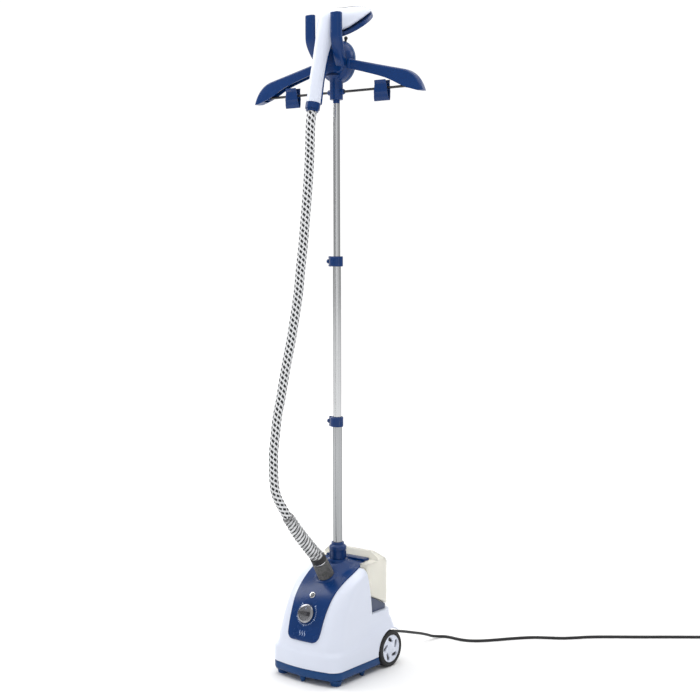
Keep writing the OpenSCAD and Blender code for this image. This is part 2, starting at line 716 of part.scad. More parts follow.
module handset_shell() {
    last = len(handset_rows) - 1;
    color(white) skin(concat(
        [for (r = handset_rows) [for (i = [0 : 19]) handset_point(r, 18 * i, 0)]],
        [for (k = [last : -1 : 0])
            [for (i = [0 : 19]) handset_point(handset_rows[k], 18 * i, k == last ? -0.9 : -2.4)]]), true);
}

// Blue strip that forms the back of the handle
module handset_back() {
    color(navy) skin([for (k = [0 : 3]) concat(
        [for (i = [0 : 8]) handset_point(handset_rows[k], 205 + 16.25 * i, 3.2 - 0.7 * k)],
        [for (i = [8 : -1 : 0]) handset_point(handset_rows[k], 205 + 16.25 * i, 0.25)])], strip = true);
}

module handset_cuff() {
    color(navy) translate(cuff_c) rotate([-cuff_tilt, 0, 0]) translate([0, 0, -cuff_h]) difference() {
        union() {
            cylinder(r = 14.5, h = 5, $fn = 64);
            translate([0, 0, 5]) cylinder(r = 17, h = cuff_h - 5.2, $fn = 64);
        }
        translate([0, 0, 4]) cylinder(r = 8, h = cuff_h, $fn = 48);
    }
}

// Sole plate: an egg-shaped plate with the steam holes
function plate_outline(t) = [for (i = [0 : 47]) let (a = 360 * i / 48)
    [(plate_half_l - t) * cos(a), (head_half_w - t) * sin(a)]];

module steam_plate() {
    color(navy) translate(plate_c) rotate([plate_tilt, 0, 0]) rotate([0, 0, 90]) difference() {
        linear_extrude(plate_t) polygon(plate_outline(0));
        for (x = [-40 : 16 : 40]) for (y = [-12, 0, 12])
            translate([x, y, -1]) cylinder(r = 1.6, h = plate_t + 2, $fn = 16);
    }
}

// ---- water tank ----
module tank_form(t) {
    w = tank_half_w - t;
    intersection() {
        translate([w, 0, 0]) rotate([0, -90, 0]) linear_extrude(2 * w)
            polygon([[ledge_z + 1.2 + t, 28 + t], [ledge_z + 1.2 + t, tank_rear - t],
                [245, tank_rear - t], [tank_top - t, 68 - t / 2], [tank_top - t, 60 + t],
                [262 - t, 60 + t], [262 - t, 28 + t]]);
        union() {
            translate([-w, 20, 130]) cube([2 * w, tank_rear - t - 40, 170]);
            translate([20 - w, 20, 130]) cube([2 * w - 40, tank_rear - t - 20, 170]);
            both_sides() translate([w - 20, tank_rear - t - 20, 130]) cylinder(r = 20, h = 170, $fn = 96);
        }
    }
}

module tank_shell() {
    tower = tower_w + 1.5;
    color([0.87, 0.86, 0.80, 0.45]) difference() {
        tank_form(0);
        difference() {
            tank_form(2.4);
            translate([-tower - 2.4, 0, 130]) cube([2 * tower + 4.8, tower_y + 4.4, 200]);
            translate([tank_half_w, 0, 0]) rotate([0, -90, 0]) linear_extrude(2 * tank_half_w)
                polygon([[100, 20], [100, 120], [152, 120], [155, 92], [166, 72], [175, 52], [185, 20]]);
        }
        translate([-tower, 0, 130]) cube([2 * tower, tower_y + 2, 200]);
        translate([tank_half_w + 1, 0, 0]) rotate([0, -90, 0]) linear_extrude(2 * tank_half_w + 2)
            polygon([[100, 20], [100, 104.5], [149.6, 104.5], [152.5, 92], [163.5, 72], [172.5, 52],
                [178.5, 38], [181.6, 28], [181.6, 20]]);
        translate([0, valve_y, 130]) cylinder(r = 12, h = 60, $fn = 48);
    }
}

module tank_cap() {
    color(navy) difference() {
        translate([-58, 38.5, 262.1]) cube([116, 21, 8]);
        translate([-30, 44, 266]) cube([60, 8, 10]);
    }
}

module tank_valve() {
    color(navy) translate([0, valve_y, 0]) difference() {
        union() {
            translate([0, 0, 152]) cylinder(r = 15, h = 6, $fn = 48);
            translate([0, 0, 158]) cylinder(r = 11.8, h = 22, $fn = 48);
        }
        translate([0, 0, 150]) cylinder(r = 3, h = 40, $fn = 32);
        translate([0, 0, 166]) cylinder(r = 8, h = 20, $fn = 32);
    }
}

module valve_plunger() {
    color(dark) translate([0, valve_y, 0]) {
        translate([0, 0, 149]) cylinder(r = 2.9, h = 24, $fn = 32);
        translate([0, 0, 170]) cylinder(r = 7, h = 3, $fn = 32);
    }
}

// ---- cords ----
module steam_hose() {
    color([0.8, 0.8, 0.82]) swept(hose_route, [for (p = hose_route) hose_d / 2], [1, 0, 0], 12);
}

module mains_cord() {
    color(dark) {
        swept(cord_route, [for (p = cord_route) cord_d / 2], [0, 0, 1], 8);
        swept(tail_route, [for (p = tail_route) cord_d / 2], [0, 0, 1], 8);
    }
}

// Outer shape of the coil: two turns beside two, a cord's width apart
module mains_coil() {
    color(dark) translate(coil_c) rotate_extrude($fn = 96)
        translate([coil_r - cord_d, tie_t]) square([2 * cord_d, 2 * cord_d]);
}

module coil_tie() {
    w = 2 * cord_d + 2 * fit;
    color(navy) translate(coil_c + [-5, coil_r - cord_d - fit - tie_t, 0]) difference() {
        cube([10, w + 2 * tie_t, w + 2 * tie_t - fit]);
        translate([-1, tie_t, tie_t - fit]) cube([12, w, w]);
    }
}

module mains_plug() {
    color(dark) translate(plug_c) rotate([-90, 0, 0]) {
        cylinder(r1 = 4, r2 = 7, h = 28.2, $fn = 32);
        translate([0, 0, 28]) cylinder(r1 = 11, r2 = 14, h = 24, $fn = 48);
        translate([0, 0, 52]) cylinder(r = 18.4, h = 16, $fn = 64);
        for (x = [-9.5, 9.5]) translate([x, 0, 67]) cylinder(r = 2.4, h = 19, $fn = 24);
    }
}

base_tray();
feet();
base_screws();
body_shell();
top_cover();
tank_seat();
axle();
boiler_body();
heating_element();
thermostat();
thermal_fuse();
feed_tube();
steam_pipe();
rotary_switch();
terminal_block();
indicator_lens();
hose_connector();
hose_ring();
hose_guard();
lower_tube();
lower_clamp();
lower_clamp_pin();
cord_gland();
cord_clamp();
lock_nut();
dial_knob();
tyre_left();
tyre_right();
hubcap_left();
hubcap_right();
lower_lever();
middle_tube();
upper_clamp();
upper_clamp_pin();
upper_lever();
upper_tube();
hanger_hub();
hub_cover();
handset_cradle();
rest_pegs();
arm_left();
arm_right();
clip_bars();
clip_back_left();
clip_back_right();
clip_front_left();
clip_front_right();
handset_shell();
handset_back();
handset_cuff();
steam_plate();
tank_shell();
tank_cap();
tank_valve();
valve_plunger();
steam_hose();
mains_cord();
mains_coil();
coil_tie();
mains_plug();
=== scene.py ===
import bpy, bmesh
from math import copysign, cos, dist, hypot, pi, radians, sin, sqrt, tau
from mathutils import Vector, Matrix


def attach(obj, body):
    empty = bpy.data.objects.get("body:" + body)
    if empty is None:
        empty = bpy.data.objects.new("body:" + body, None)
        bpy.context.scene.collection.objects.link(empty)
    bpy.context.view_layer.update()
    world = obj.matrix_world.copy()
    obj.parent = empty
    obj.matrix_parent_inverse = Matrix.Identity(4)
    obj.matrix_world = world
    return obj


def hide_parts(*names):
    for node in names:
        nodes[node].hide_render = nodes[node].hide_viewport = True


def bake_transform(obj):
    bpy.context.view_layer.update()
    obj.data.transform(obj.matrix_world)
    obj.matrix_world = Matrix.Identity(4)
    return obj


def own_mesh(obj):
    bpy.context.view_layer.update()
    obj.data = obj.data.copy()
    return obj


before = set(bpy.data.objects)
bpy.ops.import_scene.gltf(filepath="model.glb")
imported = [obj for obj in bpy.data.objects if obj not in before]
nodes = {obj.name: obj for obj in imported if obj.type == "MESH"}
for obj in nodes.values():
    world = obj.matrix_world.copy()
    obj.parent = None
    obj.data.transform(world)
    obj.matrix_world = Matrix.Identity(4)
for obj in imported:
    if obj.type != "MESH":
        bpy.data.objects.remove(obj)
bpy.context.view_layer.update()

MM = 0.001

# places in millimetres, as in the CAD source
SIDES = ((-1, "left"), (1, "right"))
MAST_Y, WHEEL_Y, WHEEL_Z = 8, 88, 44
DIAL_C, DIAL_LEAN = (0, -109.5, 157), 67
LAMP_C, LAMP_LEAN = (0, -86, 196), 53
PORT_C, PORT_LEAN = (0, -37, 235), 33
TUBE_R, WELL_R, WELL_X = 11.1, 50, (72, 120)
BAR_Z, CLIP_X, HUB_Z = 1376, 133, 1447

# ---- camera
az, el, roll = radians(37.876), radians(4.626), radians(-0.133)
FOCAL_PX, FRAME_PX, SENSOR = 1304.991, 700, 36.0
look = Vector((-sin(az) * cos(el), cos(az) * cos(el), -sin(el)))
cam_data = bpy.data.cameras.new("camera")
cam_data.sensor_width = SENSOR
cam_data.lens = FOCAL_PX / FRAME_PX * SENSOR
cam_data.clip_start, cam_data.clip_end = 0.05, 60.0
cam = bpy.data.objects.new("camera", cam_data)
cam.rotation_mode = "QUATERNION"
cam.location = (1.924, -2.416, 1.021)
cam.rotation_quaternion = look.to_track_quat("-Z", "Y") @ Matrix.Rotation(roll, 3, "Z").to_quaternion()
bpy.context.scene.collection.objects.link(cam)
bpy.context.scene.camera = cam


# ---- shape helpers (millimetres)
def catmull(t, *four):
    """Catmull-Rom between the middle two of four points."""
    return tuple(0.5 * (2 * b + (c - a) * t + (2 * a - 5 * b + 4 * c - d) * t * t
                        + (3 * b - a - 3 * c + d) * t ** 3) for a, b, c, d in zip(*four))


def smooth(t):
    """Eased step from 0 to 1, held outside that range."""
    t = min(1.0, max(0.0, t))
    return t * t * (3 - 2 * t)


def spline(points, per):
    """Catmull-Rom through the points, per steps between two of them."""
    out = []
    n = len(points)
    for i in range(n - 1):
        p0, p1, p2, p3 = points[max(i - 1, 0)], points[i], points[i + 1], points[min(i + 2, n - 1)]
        out += [catmull(k / per, p0, p1, p2, p3) for k in range(per)]
    out.append(tuple(float(v) for v in points[-1]))
    return out


def lin(points, per):
    """Straight runs through the points, per steps between two of them."""
    out = []
    for a, b in zip(points, points[1:]):
        out += [tuple(u + (v - u) * k / per for u, v in zip(a, b)) for k in range(per)]
    return out + [tuple(points[-1])]


def arc(c, r, a0, a1, n):
    return [(c[0] + r * cos(radians(a0 + (a1 - a0) * i / n)),
             c[1] + r * sin(radians(a0 + (a1 - a0) * i / n))) for i in range(n + 1)]


def arch(x, y, r, n):
    """Two quarter arcs, right then left, as the corners of a symmetric outline."""
    return arc((x, y), r, 0, 90, n) + arc((-x, y), r, 90, 180, n)


def row_at(rows, z):
    """One row between the given rows, where the first value is z."""
    for i in range(len(rows) - 1):
        if z <= rows[i + 1][0] or i == len(rows) - 2:
            t = (z - rows[i][0]) / (rows[i + 1][0] - rows[i][0])
            return catmull(t, rows[max(i - 1, 0)], rows[i], rows[i + 1], rows[min(i + 2, len(rows) - 1)])


def finish_mesh(mesh, weld=None, normals=True, angle=None):
    """Welds doubles, turns the faces outwards and marks the sharp edges, each if asked."""
    bm = bmesh.new()
    bm.from_mesh(mesh)
    if weld:
        bmesh.ops.remove_doubles(bm, verts=bm.verts, dist=weld)
        bmesh.ops.dissolve_degenerate(bm, edges=bm.edges, dist=weld)
    if normals:
        bmesh.ops.recalc_face_normals(bm, faces=bm.faces)
    bm.to_mesh(mesh)
    bm.free()
    if angle:
        mesh.shade_smooth()
        mesh.set_sharp_from_angle(angle=radians(angle))


def in_scene(name, data):
    obj = bpy.data.objects.new(name, data)
    bpy.context.scene.collection.objects.link(obj)
    return obj


def make(name, part, material, body, replaces="", angle=32, uvs=None):
    mesh = bpy.data.meshes.new(name)
    mesh.from_pydata([Vector(v) * MM for v in part[0]], [], part[1])
    mesh.validate()
    if uvs:
        layer = mesh.uv_layers.new(name="UVMap")
        for loop in mesh.loops:
            layer.data[loop.index].uv = uvs[loop.vertex_index]
    finish_mesh(mesh, weld=None if uvs else 0.000002, angle=angle)
    obj = in_scene(name, mesh)
    mesh.materials.append(material)
    if body:
        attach(obj, body)
    if replaces:
        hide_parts(*replaces.split())
    return obj


def loft(rings, closed=False, caps=True):
    """Skin over rings of equally many points."""
    n, m = len(rings[0]), len(rings)
    verts = [p for r in rings for p in r]
    faces = []
    for k in range(m if closed else m - 1):
        a, b = k * n, ((k + 1) % m) * n
        faces += [(a + i, a + (i + 1) % n, b + (i + 1) % n, b + i) for i in range(n)]
    if caps and not closed:
        faces += [tuple(range(n - 1, -1, -1)), tuple((m - 1) * n + i for i in range(n))]
    return verts, faces


def join(*parts):
    verts, faces = [], []
    for v, f in parts:
        faces += [tuple(i + len(verts) for i in face) for face in f]
        verts += v
    return verts, faces


def sheet(rings):
    """Loft over flat rings, each a line and its way back, with its two ends closed by strips."""
    v, f = loft(rings, caps=False)
    n = len(rings[0])
    m, half = (len(rings) - 1) * n, range(n // 2 - 1)
    f += [(i, i + 1, n - 2 - i, n - 1 - i) for i in half]
    return v, f + [(m + n - 1 - i, m + n - 2 - i, m + i + 1, m + i) for i in half]


def place(part, fn):
    return [fn(Vector(v)) for v in part[0]], part[1]


def slab(points, lo, hi, axis):
    """Prism of a 2-D outline along X (axis 0), Y (1) or Z (2)."""
    turn = [lambda a, b, c: (c, a, b), lambda a, b, c: (a, c, b), lambda a, b, c: (a, b, c)][axis]
    return loft([[turn(a, b, c) for a, b in points] for c in (lo, hi)])


def shift(x, y):
    return lambda q: q + Vector((x, y, 0))


at_mast = shift(0, MAST_Y)


def circles(profile, n):
    turn = [2 * pi * i / n for i in range(n)]
    return [[(r * cos(a), r * sin(a), z) for a in turn] for r, z in profile]


def lathe(profile, n=64):
    """Solid of revolution round Z from (r, z) pairs that start and end on or near the axis."""
    return loft(circles(profile, n))


def washer(profile, n=64):
    """Ring-shaped solid from a closed (r, z) profile."""
    return loft(circles(profile, n), closed=True)


def frames(path, side=(1, 0, 0)):
    """Tangent and two cross directions at each point, carried along without twist."""
    pts = [Vector(p) for p in path]
    out = []
    u = None
    for i, p in enumerate(pts):
        t = (pts[min(i + 1, len(pts) - 1)] - pts[max(i - 1, 0)]).normalized()
        u = Vector(side) if u is None else u
        u = (u - t * u.dot(t)).normalized()
        out.append((p, t, u, t.cross(u)))
    return out


def around(p, u, w, a, r):
    return p + (u * cos(a) + w * sin(a)) * r


def tube(path, radius, n=24, side=(1, 0, 0)):
    rings = []
    for k, (p, _, u, w) in enumerate(frames(path, side)):
        r = radius(k) if callable(radius) else radius
        rings.append([around(p, u, w, 2 * pi * i / n, r) for i in range(n)])
    return loft(rings)


def sleeve(line, run, count, radius):
    """Open tube along frames. Its radius and its uv come from the way round and the length so far."""
    verts, faces, uvs = [], [], []
    n = count + 1
    for k, (p, _, u, w) in enumerate(line):
        run += (p - line[k - 1][0]).length if k else 0
        for i in range(n):
            q = i / count
            verts.append(around(p, u, w, 2 * pi * q, radius(q, run)))
            uvs.append((q, run * MM))
        if k:
            b = k * n
            faces += [(b - n + i, b - n + i + 1, b + i + 1, b + i) for i in range(count)]
    return (verts, faces), uvs, run


def on_cover(c, lean):
    """Map that stands a part on the sloping cover."""
    m = Matrix.Translation(Vector(c)) @ Matrix.Rotation(radians(lean), 4, "X")
    return lambda v: m @ v


def length_of(path):
    return sum((Vector(b) - Vector(a)).length for a, b in zip(path, path[1:]))


def boolean(obj, tool, op="DIFFERENCE"):
    """Cuts the tool out of the object, or keeps what they share, and deletes the tool."""
    mod = obj.modifiers.new("cut", "BOOLEAN")
    mod.operation, mod.solver, mod.object = op, "EXACT", tool
    deps = bpy.context.evaluated_depsgraph_get()
    mesh = bpy.data.meshes.new_from_object(obj.evaluated_get(deps))
    obj.modifiers.clear()
    obj.data = mesh
    finish_mesh(mesh, weld=0.00001, normals=False, angle=32)
    bpy.data.objects.remove(tool)


def cutter(part):
    mesh = bpy.data.meshes.new("cutter")
    mesh.from_pydata([Vector(v) * MM for v in part[0]], [], part[1])
    finish_mesh(mesh)
    return in_scene("cutter", mesh)


# ---- materials
class Mat:
    """Node helpers for a material, or for the world."""
    def __init__(self, block, shader="Principled BSDF"):
        self.m = block
        self.m.use_nodes = True
        self.t = self.m.node_tree
        self.b = self.t.nodes[shader]

    def node(self, kind, **sets):
        n = self.t.nodes.new(kind)
        for k, v in sets.items():
            if k in n.inputs:
                n.inputs[k].default_value = v
            else:
                setattr(n, k, v)
        return n

    def link(self, a, b):
        self.t.links.new(a, b)

    def math(self, op, a, b=None):
        n = self.t.nodes.new("ShaderNodeMath")
        n.operation = op
        for i, v in enumerate([a, b]):
            if v is None:
                continue
            if isinstance(v, (int, float)):
                n.inputs[i].default_value = v
            else:
                self.link(v, n.inputs[i])
        return n.outputs[0]

    def coords(self, scale=(1, 1, 1)):
        c = self.node("ShaderNodeTexCoord")
        mp = self.node("ShaderNodeMapping")
        mp.inputs["Scale"].default_value = scale
        self.link(c.outputs["Object"], mp.inputs["Vector"])
        return mp.outputs[0]

    def noise(self, vec, scale, detail=3.0):
        n = self.node("ShaderNodeTexNoise", Scale=scale, Detail=detail)
        self.link(vec, n.inputs["Vector"])
        return n.outputs["Fac"]

    def ramp(self, fac, a, b, lo=0.35, hi=0.65):
        n = self.node("ShaderNodeMapRange")
        n.inputs["From Min"].default_value, n.inputs["From Max"].default_value = lo, hi
        n.inputs["To Min"].default_value, n.inputs["To Max"].default_value = a, b
        self.link(fac, n.inputs["Value"])
        return n.outputs[0]

    def mix(self, fac, a, b):
        n = self.t.nodes.new("ShaderNodeMix")
        n.data_type = "RGBA"
        self.link(fac, n.inputs["Factor"])
        for v, s in ((a, n.inputs[6]), (b, n.inputs[7])):
            if isinstance(v, (tuple, list)):
                s.default_value = (*v[:3], 1)
            else:
                self.link(v, s)
        return n.outputs[2]

    def bump(self, height, strength, distance):
        n = self.node("ShaderNodeBump", Strength=strength, Distance=distance)
        self.link(height, n.inputs["Height"])
        self.link(n.outputs[0], self.b.inputs["Normal"])


def surface(name, base, rough=0.3, metal=0.0, coat=0.0, vary=0.08, scale=35, grain=1400, grain_d=0.00002,
            rough_d=0.06, stretch=(1, 1, 1), trans=0.0, ior=1.47, spec=0.5, edge=1.0):
    """Moulded plastic, metal, rubber or clear plastic, with uneven colour, gloss and fine grain."""
    m = Mat(bpy.data.materials.new(name))
    b = m.b
    vec = m.coords(stretch)
    dark = tuple(c * (1 - vary) for c in base)
    lite = tuple(min(1.0, c * (1 + vary * 0.5)) for c in base)
    m.link(m.mix(m.ramp(m.noise(vec, scale), 0, 1), dark, lite), b.inputs["Base Color"])
    m.link(m.ramp(m.noise(vec, scale * 2.3, 4.0), max(0.02, rough - rough_d), rough + rough_d),
           b.inputs["Roughness"])
    m.bump(m.noise(vec, grain, 2.0), 0.35, grain_d)
    b.inputs["Metallic"].default_value = metal
    b.inputs["Coat Weight"].default_value = coat
    b.inputs["Coat Roughness"].default_value = 0.06
    b.inputs["Transmission Weight"].default_value = trans
    b.inputs["IOR"].default_value = ior
    # an edge below one darkens the metal's grazing reflections: painted shade along the edges of the tubes
    b.inputs["Specular Tint"].default_value = (edge, edge, edge, 1)
    b.inputs["Specular IOR Level"].default_value = spec
    return m.m


NAVY = surface("navy_gloss", (0.002, 0.030, 0.135), rough=0.26, vary=0.06, scale=22, spec=0.30,
               rough_d=0.02, grain_d=0.000006)
NAVY_SOFT = surface("navy_satin", (0.005, 0.048, 0.165), rough=0.38, vary=0.07, scale=30, spec=0.28,
                    rough_d=0.02, grain_d=0.000006)
WHITE = surface("white_gloss", (0.70, 0.74, 0.85), rough=0.30, vary=0.006, scale=18, spec=0.4, rough_d=0.01,
                grain_d=0.000006)
SLATE = surface("slate_satin", (0.05, 0.07, 0.14), rough=0.34, coat=0.1, vary=0.15, scale=40)
BLACK = surface("black_satin", (0.012, 0.012, 0.014), rough=0.42, vary=0.25, scale=60, rough_d=0.08)
RUBBER = surface("tyre_rubber", (0.011, 0.011, 0.012), rough=0.62, vary=0.35, scale=90, grain=900,
                 grain_d=0.00006)
CABLE = surface("cable_rubber", (0.010, 0.010, 0.011), rough=0.48, vary=0.25, scale=120, grain=1800,
                grain_d=0.00003)
BRUSHED = dict(metal=1.0, vary=0.05, scale=60, grain=240, grain_d=0.000002, stretch=(6, 6, 0.06),
               rough_d=0.03)
# the aluminium's low edge tint is painted shade in its grazing reflections
ALU = surface("satin_aluminium", (0.56, 0.57, 0.58), rough=0.15, edge=0.12, **BRUSHED)
# painted shade: the lower tube's aluminium is a darker copy of the upper tubes' aluminium, standing in for the
# shade on it
ALU_LOW_SHADED = surface("satin_aluminium_shaded", (0.36, 0.37, 0.38), rough=0.16, edge=0.10, **BRUSHED)
STEEL = surface("plain_steel", (0.52, 0.52, 0.53), rough=0.32, metal=1.0, vary=0.15, scale=120)
CHROME = surface("chrome", (0.80, 0.80, 0.82), rough=0.10, metal=1.0, vary=0.05, scale=80, rough_d=0.04)
DARK_METAL = surface("black_painted_rod", (0.015, 0.015, 0.017), rough=0.30, coat=0.2, vary=0.25, scale=80)
DIAL = surface("dial_grey", (0.075, 0.075, 0.082), rough=0.30, metal=0.5, vary=0.12, scale=90)
DIAL_RING = surface("dial_ring", (0.34, 0.345, 0.37), rough=0.22, metal=0.9, vary=0.10, scale=90)
PRINT = surface("pale_print", (0.42, 0.52, 0.74), rough=0.45, vary=0.05, scale=100)
LENS = surface("lamp_lens", (0.13, 0.135, 0.14), rough=0.12, coat=0.5, vary=0.15, scale=220)
TANK = surface("tank_clear", (0.95, 0.94, 0.89), rough=0.22, trans=0.72, ior=1.10, vary=0.02, scale=12,
               rough_d=0.02, grain_d=0.000005)
SMOKE = surface("smoke_clear", (0.20, 0.20, 0.20), rough=0.16, trans=0.45, ior=1.25, coat=0.4, vary=0.25,
                scale=90)
CLEAR = surface("guard_clear", (0.42, 0.42, 0.43), rough=0.2, trans=0.35, ior=1.3, coat=0.5, vary=0.08,
                scale=140)
SILICONE = surface("silicone", (0.70, 0.68, 0.62), rough=0.5, vary=0.08, scale=70)
CAST = surface("cast_metal", (0.45, 0.45, 0.46), rough=0.55, metal=1.0, vary=0.2, scale=120, grain=500,
               grain_d=0.0001)


YARNS, YARN_PITCH = 24.0, 0.0032


def braid(name, columns, pitch, dot_w, dot_h, slant):
    """Woven sleeve with black flecks, staggered by columns. u runs once round, v is the length in metres."""
    m = Mat(bpy.data.materials.new(name))
    uv = m.node("ShaderNodeUVMap", uv_map="UVMap")
    sep = m.node("ShaderNodeSeparateXYZ")
    m.link(uv.outputs[0], sep.inputs[0])
    u, v = sep.outputs[0], sep.outputs[1]
    col = m.math("MULTIPLY", u, float(columns))
    cell = m.math("FLOOR", col)
    fx = m.math("SUBTRACT", m.math("SUBTRACT", col, cell), 0.5)
    odd = m.math("MULTIPLY", m.math("MODULO", cell, 2.0), 0.5)
    row = m.math("ADD", m.math("DIVIDE", v, pitch), odd)
    fy = m.math("SUBTRACT", m.math("FRACT", row), 0.5)
    lean = m.math("ADD", fx, m.math("MULTIPLY", fy, slant))
    d = m.math("ADD", m.math("DIVIDE", m.math("ABSOLUTE", lean), dot_w),
               m.math("DIVIDE", m.math("ABSOLUTE", fy), dot_h))
    fray = m.noise(m.coords(), 1500.0, 2.0)
    d = m.math("ADD", d, m.math("MULTIPLY", m.math("SUBTRACT", fray, 0.5), 0.35))
    mask = m.ramp(d, 1.0, 0.0, 0.92, 1.06)
    # two families of yarns that cross over one another; the yarns are painted darker where they dip under one
    # another, painted shade in the hollows of the weave
    round_u, along = m.math("MULTIPLY", u, YARNS), m.math("DIVIDE", v, YARN_PITCH)
    ya = m.math("SINE", m.math("MULTIPLY", m.math("ADD", round_u, along), tau))
    yb = m.math("SINE", m.math("MULTIPLY", m.math("SUBTRACT", round_u, along), tau))
    weave = m.math("MAXIMUM", ya, yb)
    shade = m.ramp(weave, 0.0, 1.0, -0.2, 0.9)
    # painted shade: each yarn colour runs from a shaded tone in the weave's hollows to a lit tone on the yarn
    # tops
    white = m.mix(shade, (0.50, 0.51, 0.53), (0.86, 0.87, 0.88))
    black = m.mix(shade, (0.003, 0.003, 0.005), (0.014, 0.015, 0.020))
    m.link(m.mix(mask, white, black), m.b.inputs["Base Color"])
    m.link(m.ramp(shade, 0.80, 0.62, 0.0, 1.0), m.b.inputs["Roughness"])
    m.bump(weave, 0.5, 0.00025)
    m.b.inputs["Sheen Weight"].default_value = 0.25
    m.b.inputs["Sheen Roughness"].default_value = 0.4
    return m.m


BRAID = braid("braided_sleeve", 8, 0.0122, 0.50, 0.43, 0.55)
BRAID_LOW = braid("guard_sleeve", 8, 0.0085, 0.44, 0.50, -1.3)

# ---- cords: mains lead
cord_route = [
    (62, 152, 65), (62, 166, 61.5), (62, 190, 55), (61, 213, 48), (60, 245, 38), (58, 277, 28),
    (57, 305, 18), (58, 328, 9), (63, 347, 4.5), (76, 359, 3.6), (94, 362, 3.6), (115, 361, 3.6),
    (140, 365, 3.6), (162, 378, 3.6), (182, 398, 3.6), (200, 420, 3.6), (220, 446, 3.6),
    (242, 472, 3.6), (266, 495, 3.6), (295, 513, 3.6), (326, 532, 3.6), (348, 554, 3.6),
    (372, 580, 3.6), (400, 604, 3.6), (440, 634, 3.6), (481, 664, 3.6), (521, 695, 3.6),
    (562, 726, 3.6), (604, 757, 3.6), (640, 783, 4), (664, 800, 4.5)]
tail_route = [(680, 820, 11.5), (685, 838, 11.6), (689, 856, 12.5), (692, 872, 14.5), (694, 886, 17),
              (695, 898, 18.5)]
COIL_X, COIL_Y, COIL_R, COIL_Z = 640, 834, 42.0, 4.5
START_A, END_A, TURNS, STEPS = -54.8, 340.7 + 1080.0, 3.85, 96


def crossing(turn, at):
    """Step that is half done at a turn and takes a fifth of a turn."""
    return smooth((turn - at + 0.10) / 0.20)


coil_turns = []
for i in range(1, STEPS):
    a = radians(START_A + (END_A - START_A) * i / STEPS)
    turn = TURNS * i / STEPS
    r = COIL_R - 7.1 * crossing(turn, 0.93) + 7.1 * crossing(turn, 2.93)
    coil_turns.append((COIL_X + r * cos(a), COIL_Y + r * sin(a), COIL_Z + 7.0 * crossing(turn, 1.93)))
cord_line = spline(cord_route, 4)[:-1] + spline([cord_route[-1]] + coil_turns + [tail_route[0]], 2)[:-1]
cord_line += spline(tail_route, 4)
lead = tube(cord_line, 3.5, n=14, side=(0, 0, 1))
mains_cord = make("mains_lead", lead, CABLE, "base", "mains_cord mains_coil", angle=60)

# ---- cords: steam hose, in three butted lengths
hose_route = [
    (-29, -143, 390), (-34, -155, 412), (-38, -164, 430), (-41, -171, 450), (-42, -175, 475),
    (-42, -176, 505), (-42, -176, 540), (-40, -172, 582), (-38, -166, 628), (-34, -158, 670),
    (-29, -146, 738), (-23, -134, 800), (-19, -124, 857), (-15, -116, 912), (-13, -110, 967),
    (-10, -104, 1022), (-8, -99, 1077), (-6, -94, 1132), (-4, -90, 1187), (-2, -88, 1242),
    (-1, -87.8, 1275), (0, -87, 1300), (0, -84.8, 1312.5), (0, -82.2, 1324.2)]
# a point about every 1.6 mm
fine = [hose_route[0]]
for p in spline(hose_route, 60):
    if (Vector(p) - Vector(fine[-1])).length >= 1.6:
        fine.append(p)
fine[-1] = hose_route[-1]
hose_frames = frames(fine)


def cut_at(z):
    return min(range(len(fine)), key=lambda i: abs(fine[i][2] - z))


def hose_radius(q, run):
    """The weave's two families of yarns stand out of the surface by turns."""
    return 10.75 + 0.25 * max(sin(tau * (12 * q + e * run / 6.4)) for e in (1, -1))


k1, k2 = cut_at(786), cut_at(1187)
run, hoses = 0.0, []
for name, s, e, body in (("low", 0, k1, "base"), ("mid", k1, k2, "mast_middle"),
                         ("top", k2, len(fine) - 1, None)):
    part, uvs, end = sleeve(hose_frames[s:e + 1], run, 48, hose_radius)
    hose = make("steam_hose_" + name, part, BRAID, body, "steam_hose", angle=80, uvs=uvs)
    hoses.append(hose)
    run = end
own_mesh(hoses[0])
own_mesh(hoses[1])
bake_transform(hoses[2])

# ---- hose guard: ribbed sleeve with a coil round it
guard_route = [(0, -68.4, 283.4), (0, -71.6, 288.3), (-4, -80, 298.5), (-11, -96, 320), (-20, -118, 351),
               (-27, -137, 381), (-29, -143, 390)]
guard_path = spline(guard_route, 26)
guard_length = length_of(guard_path)
guard_frames = frames(guard_path)


def guard_r(s):
    """Outer radius at the share s of the guard's length."""
    return 16.6 - 3.2 * max(0.0, (s - 0.55) / 0.45) ** 1.4


part, uvs, run = sleeve(guard_frames, 0.0, 40,
                        lambda q, run: guard_r(run / guard_length) - 1.7 + 0.5 * sin(tau * run / 3.4))
make("hose_guard_sleeve", part, BRAID_LOW, "base", "hose_guard", angle=80, uvs=uvs)
PER_TURN, WIRE_PITCH = 20, 6.4
wire = []
wire_steps = guard_length / WIRE_PITCH * PER_TURN
for j in range(int(wire_steps)):
    s = j / wire_steps
    x = s * (len(guard_frames) - 1)
    k = min(int(x), len(guard_frames) - 2)
    p, _, u, w = guard_frames[k]
    wire.append(around(p.lerp(guard_frames[k + 1][0], x - k), u, w, tau * j / PER_TURN, guard_r(s) - 0.9))
make("hose_guard_coil", tube(wire, 0.75, n=8, side=(0, 0, 1)), CLEAR, "base", angle=60)

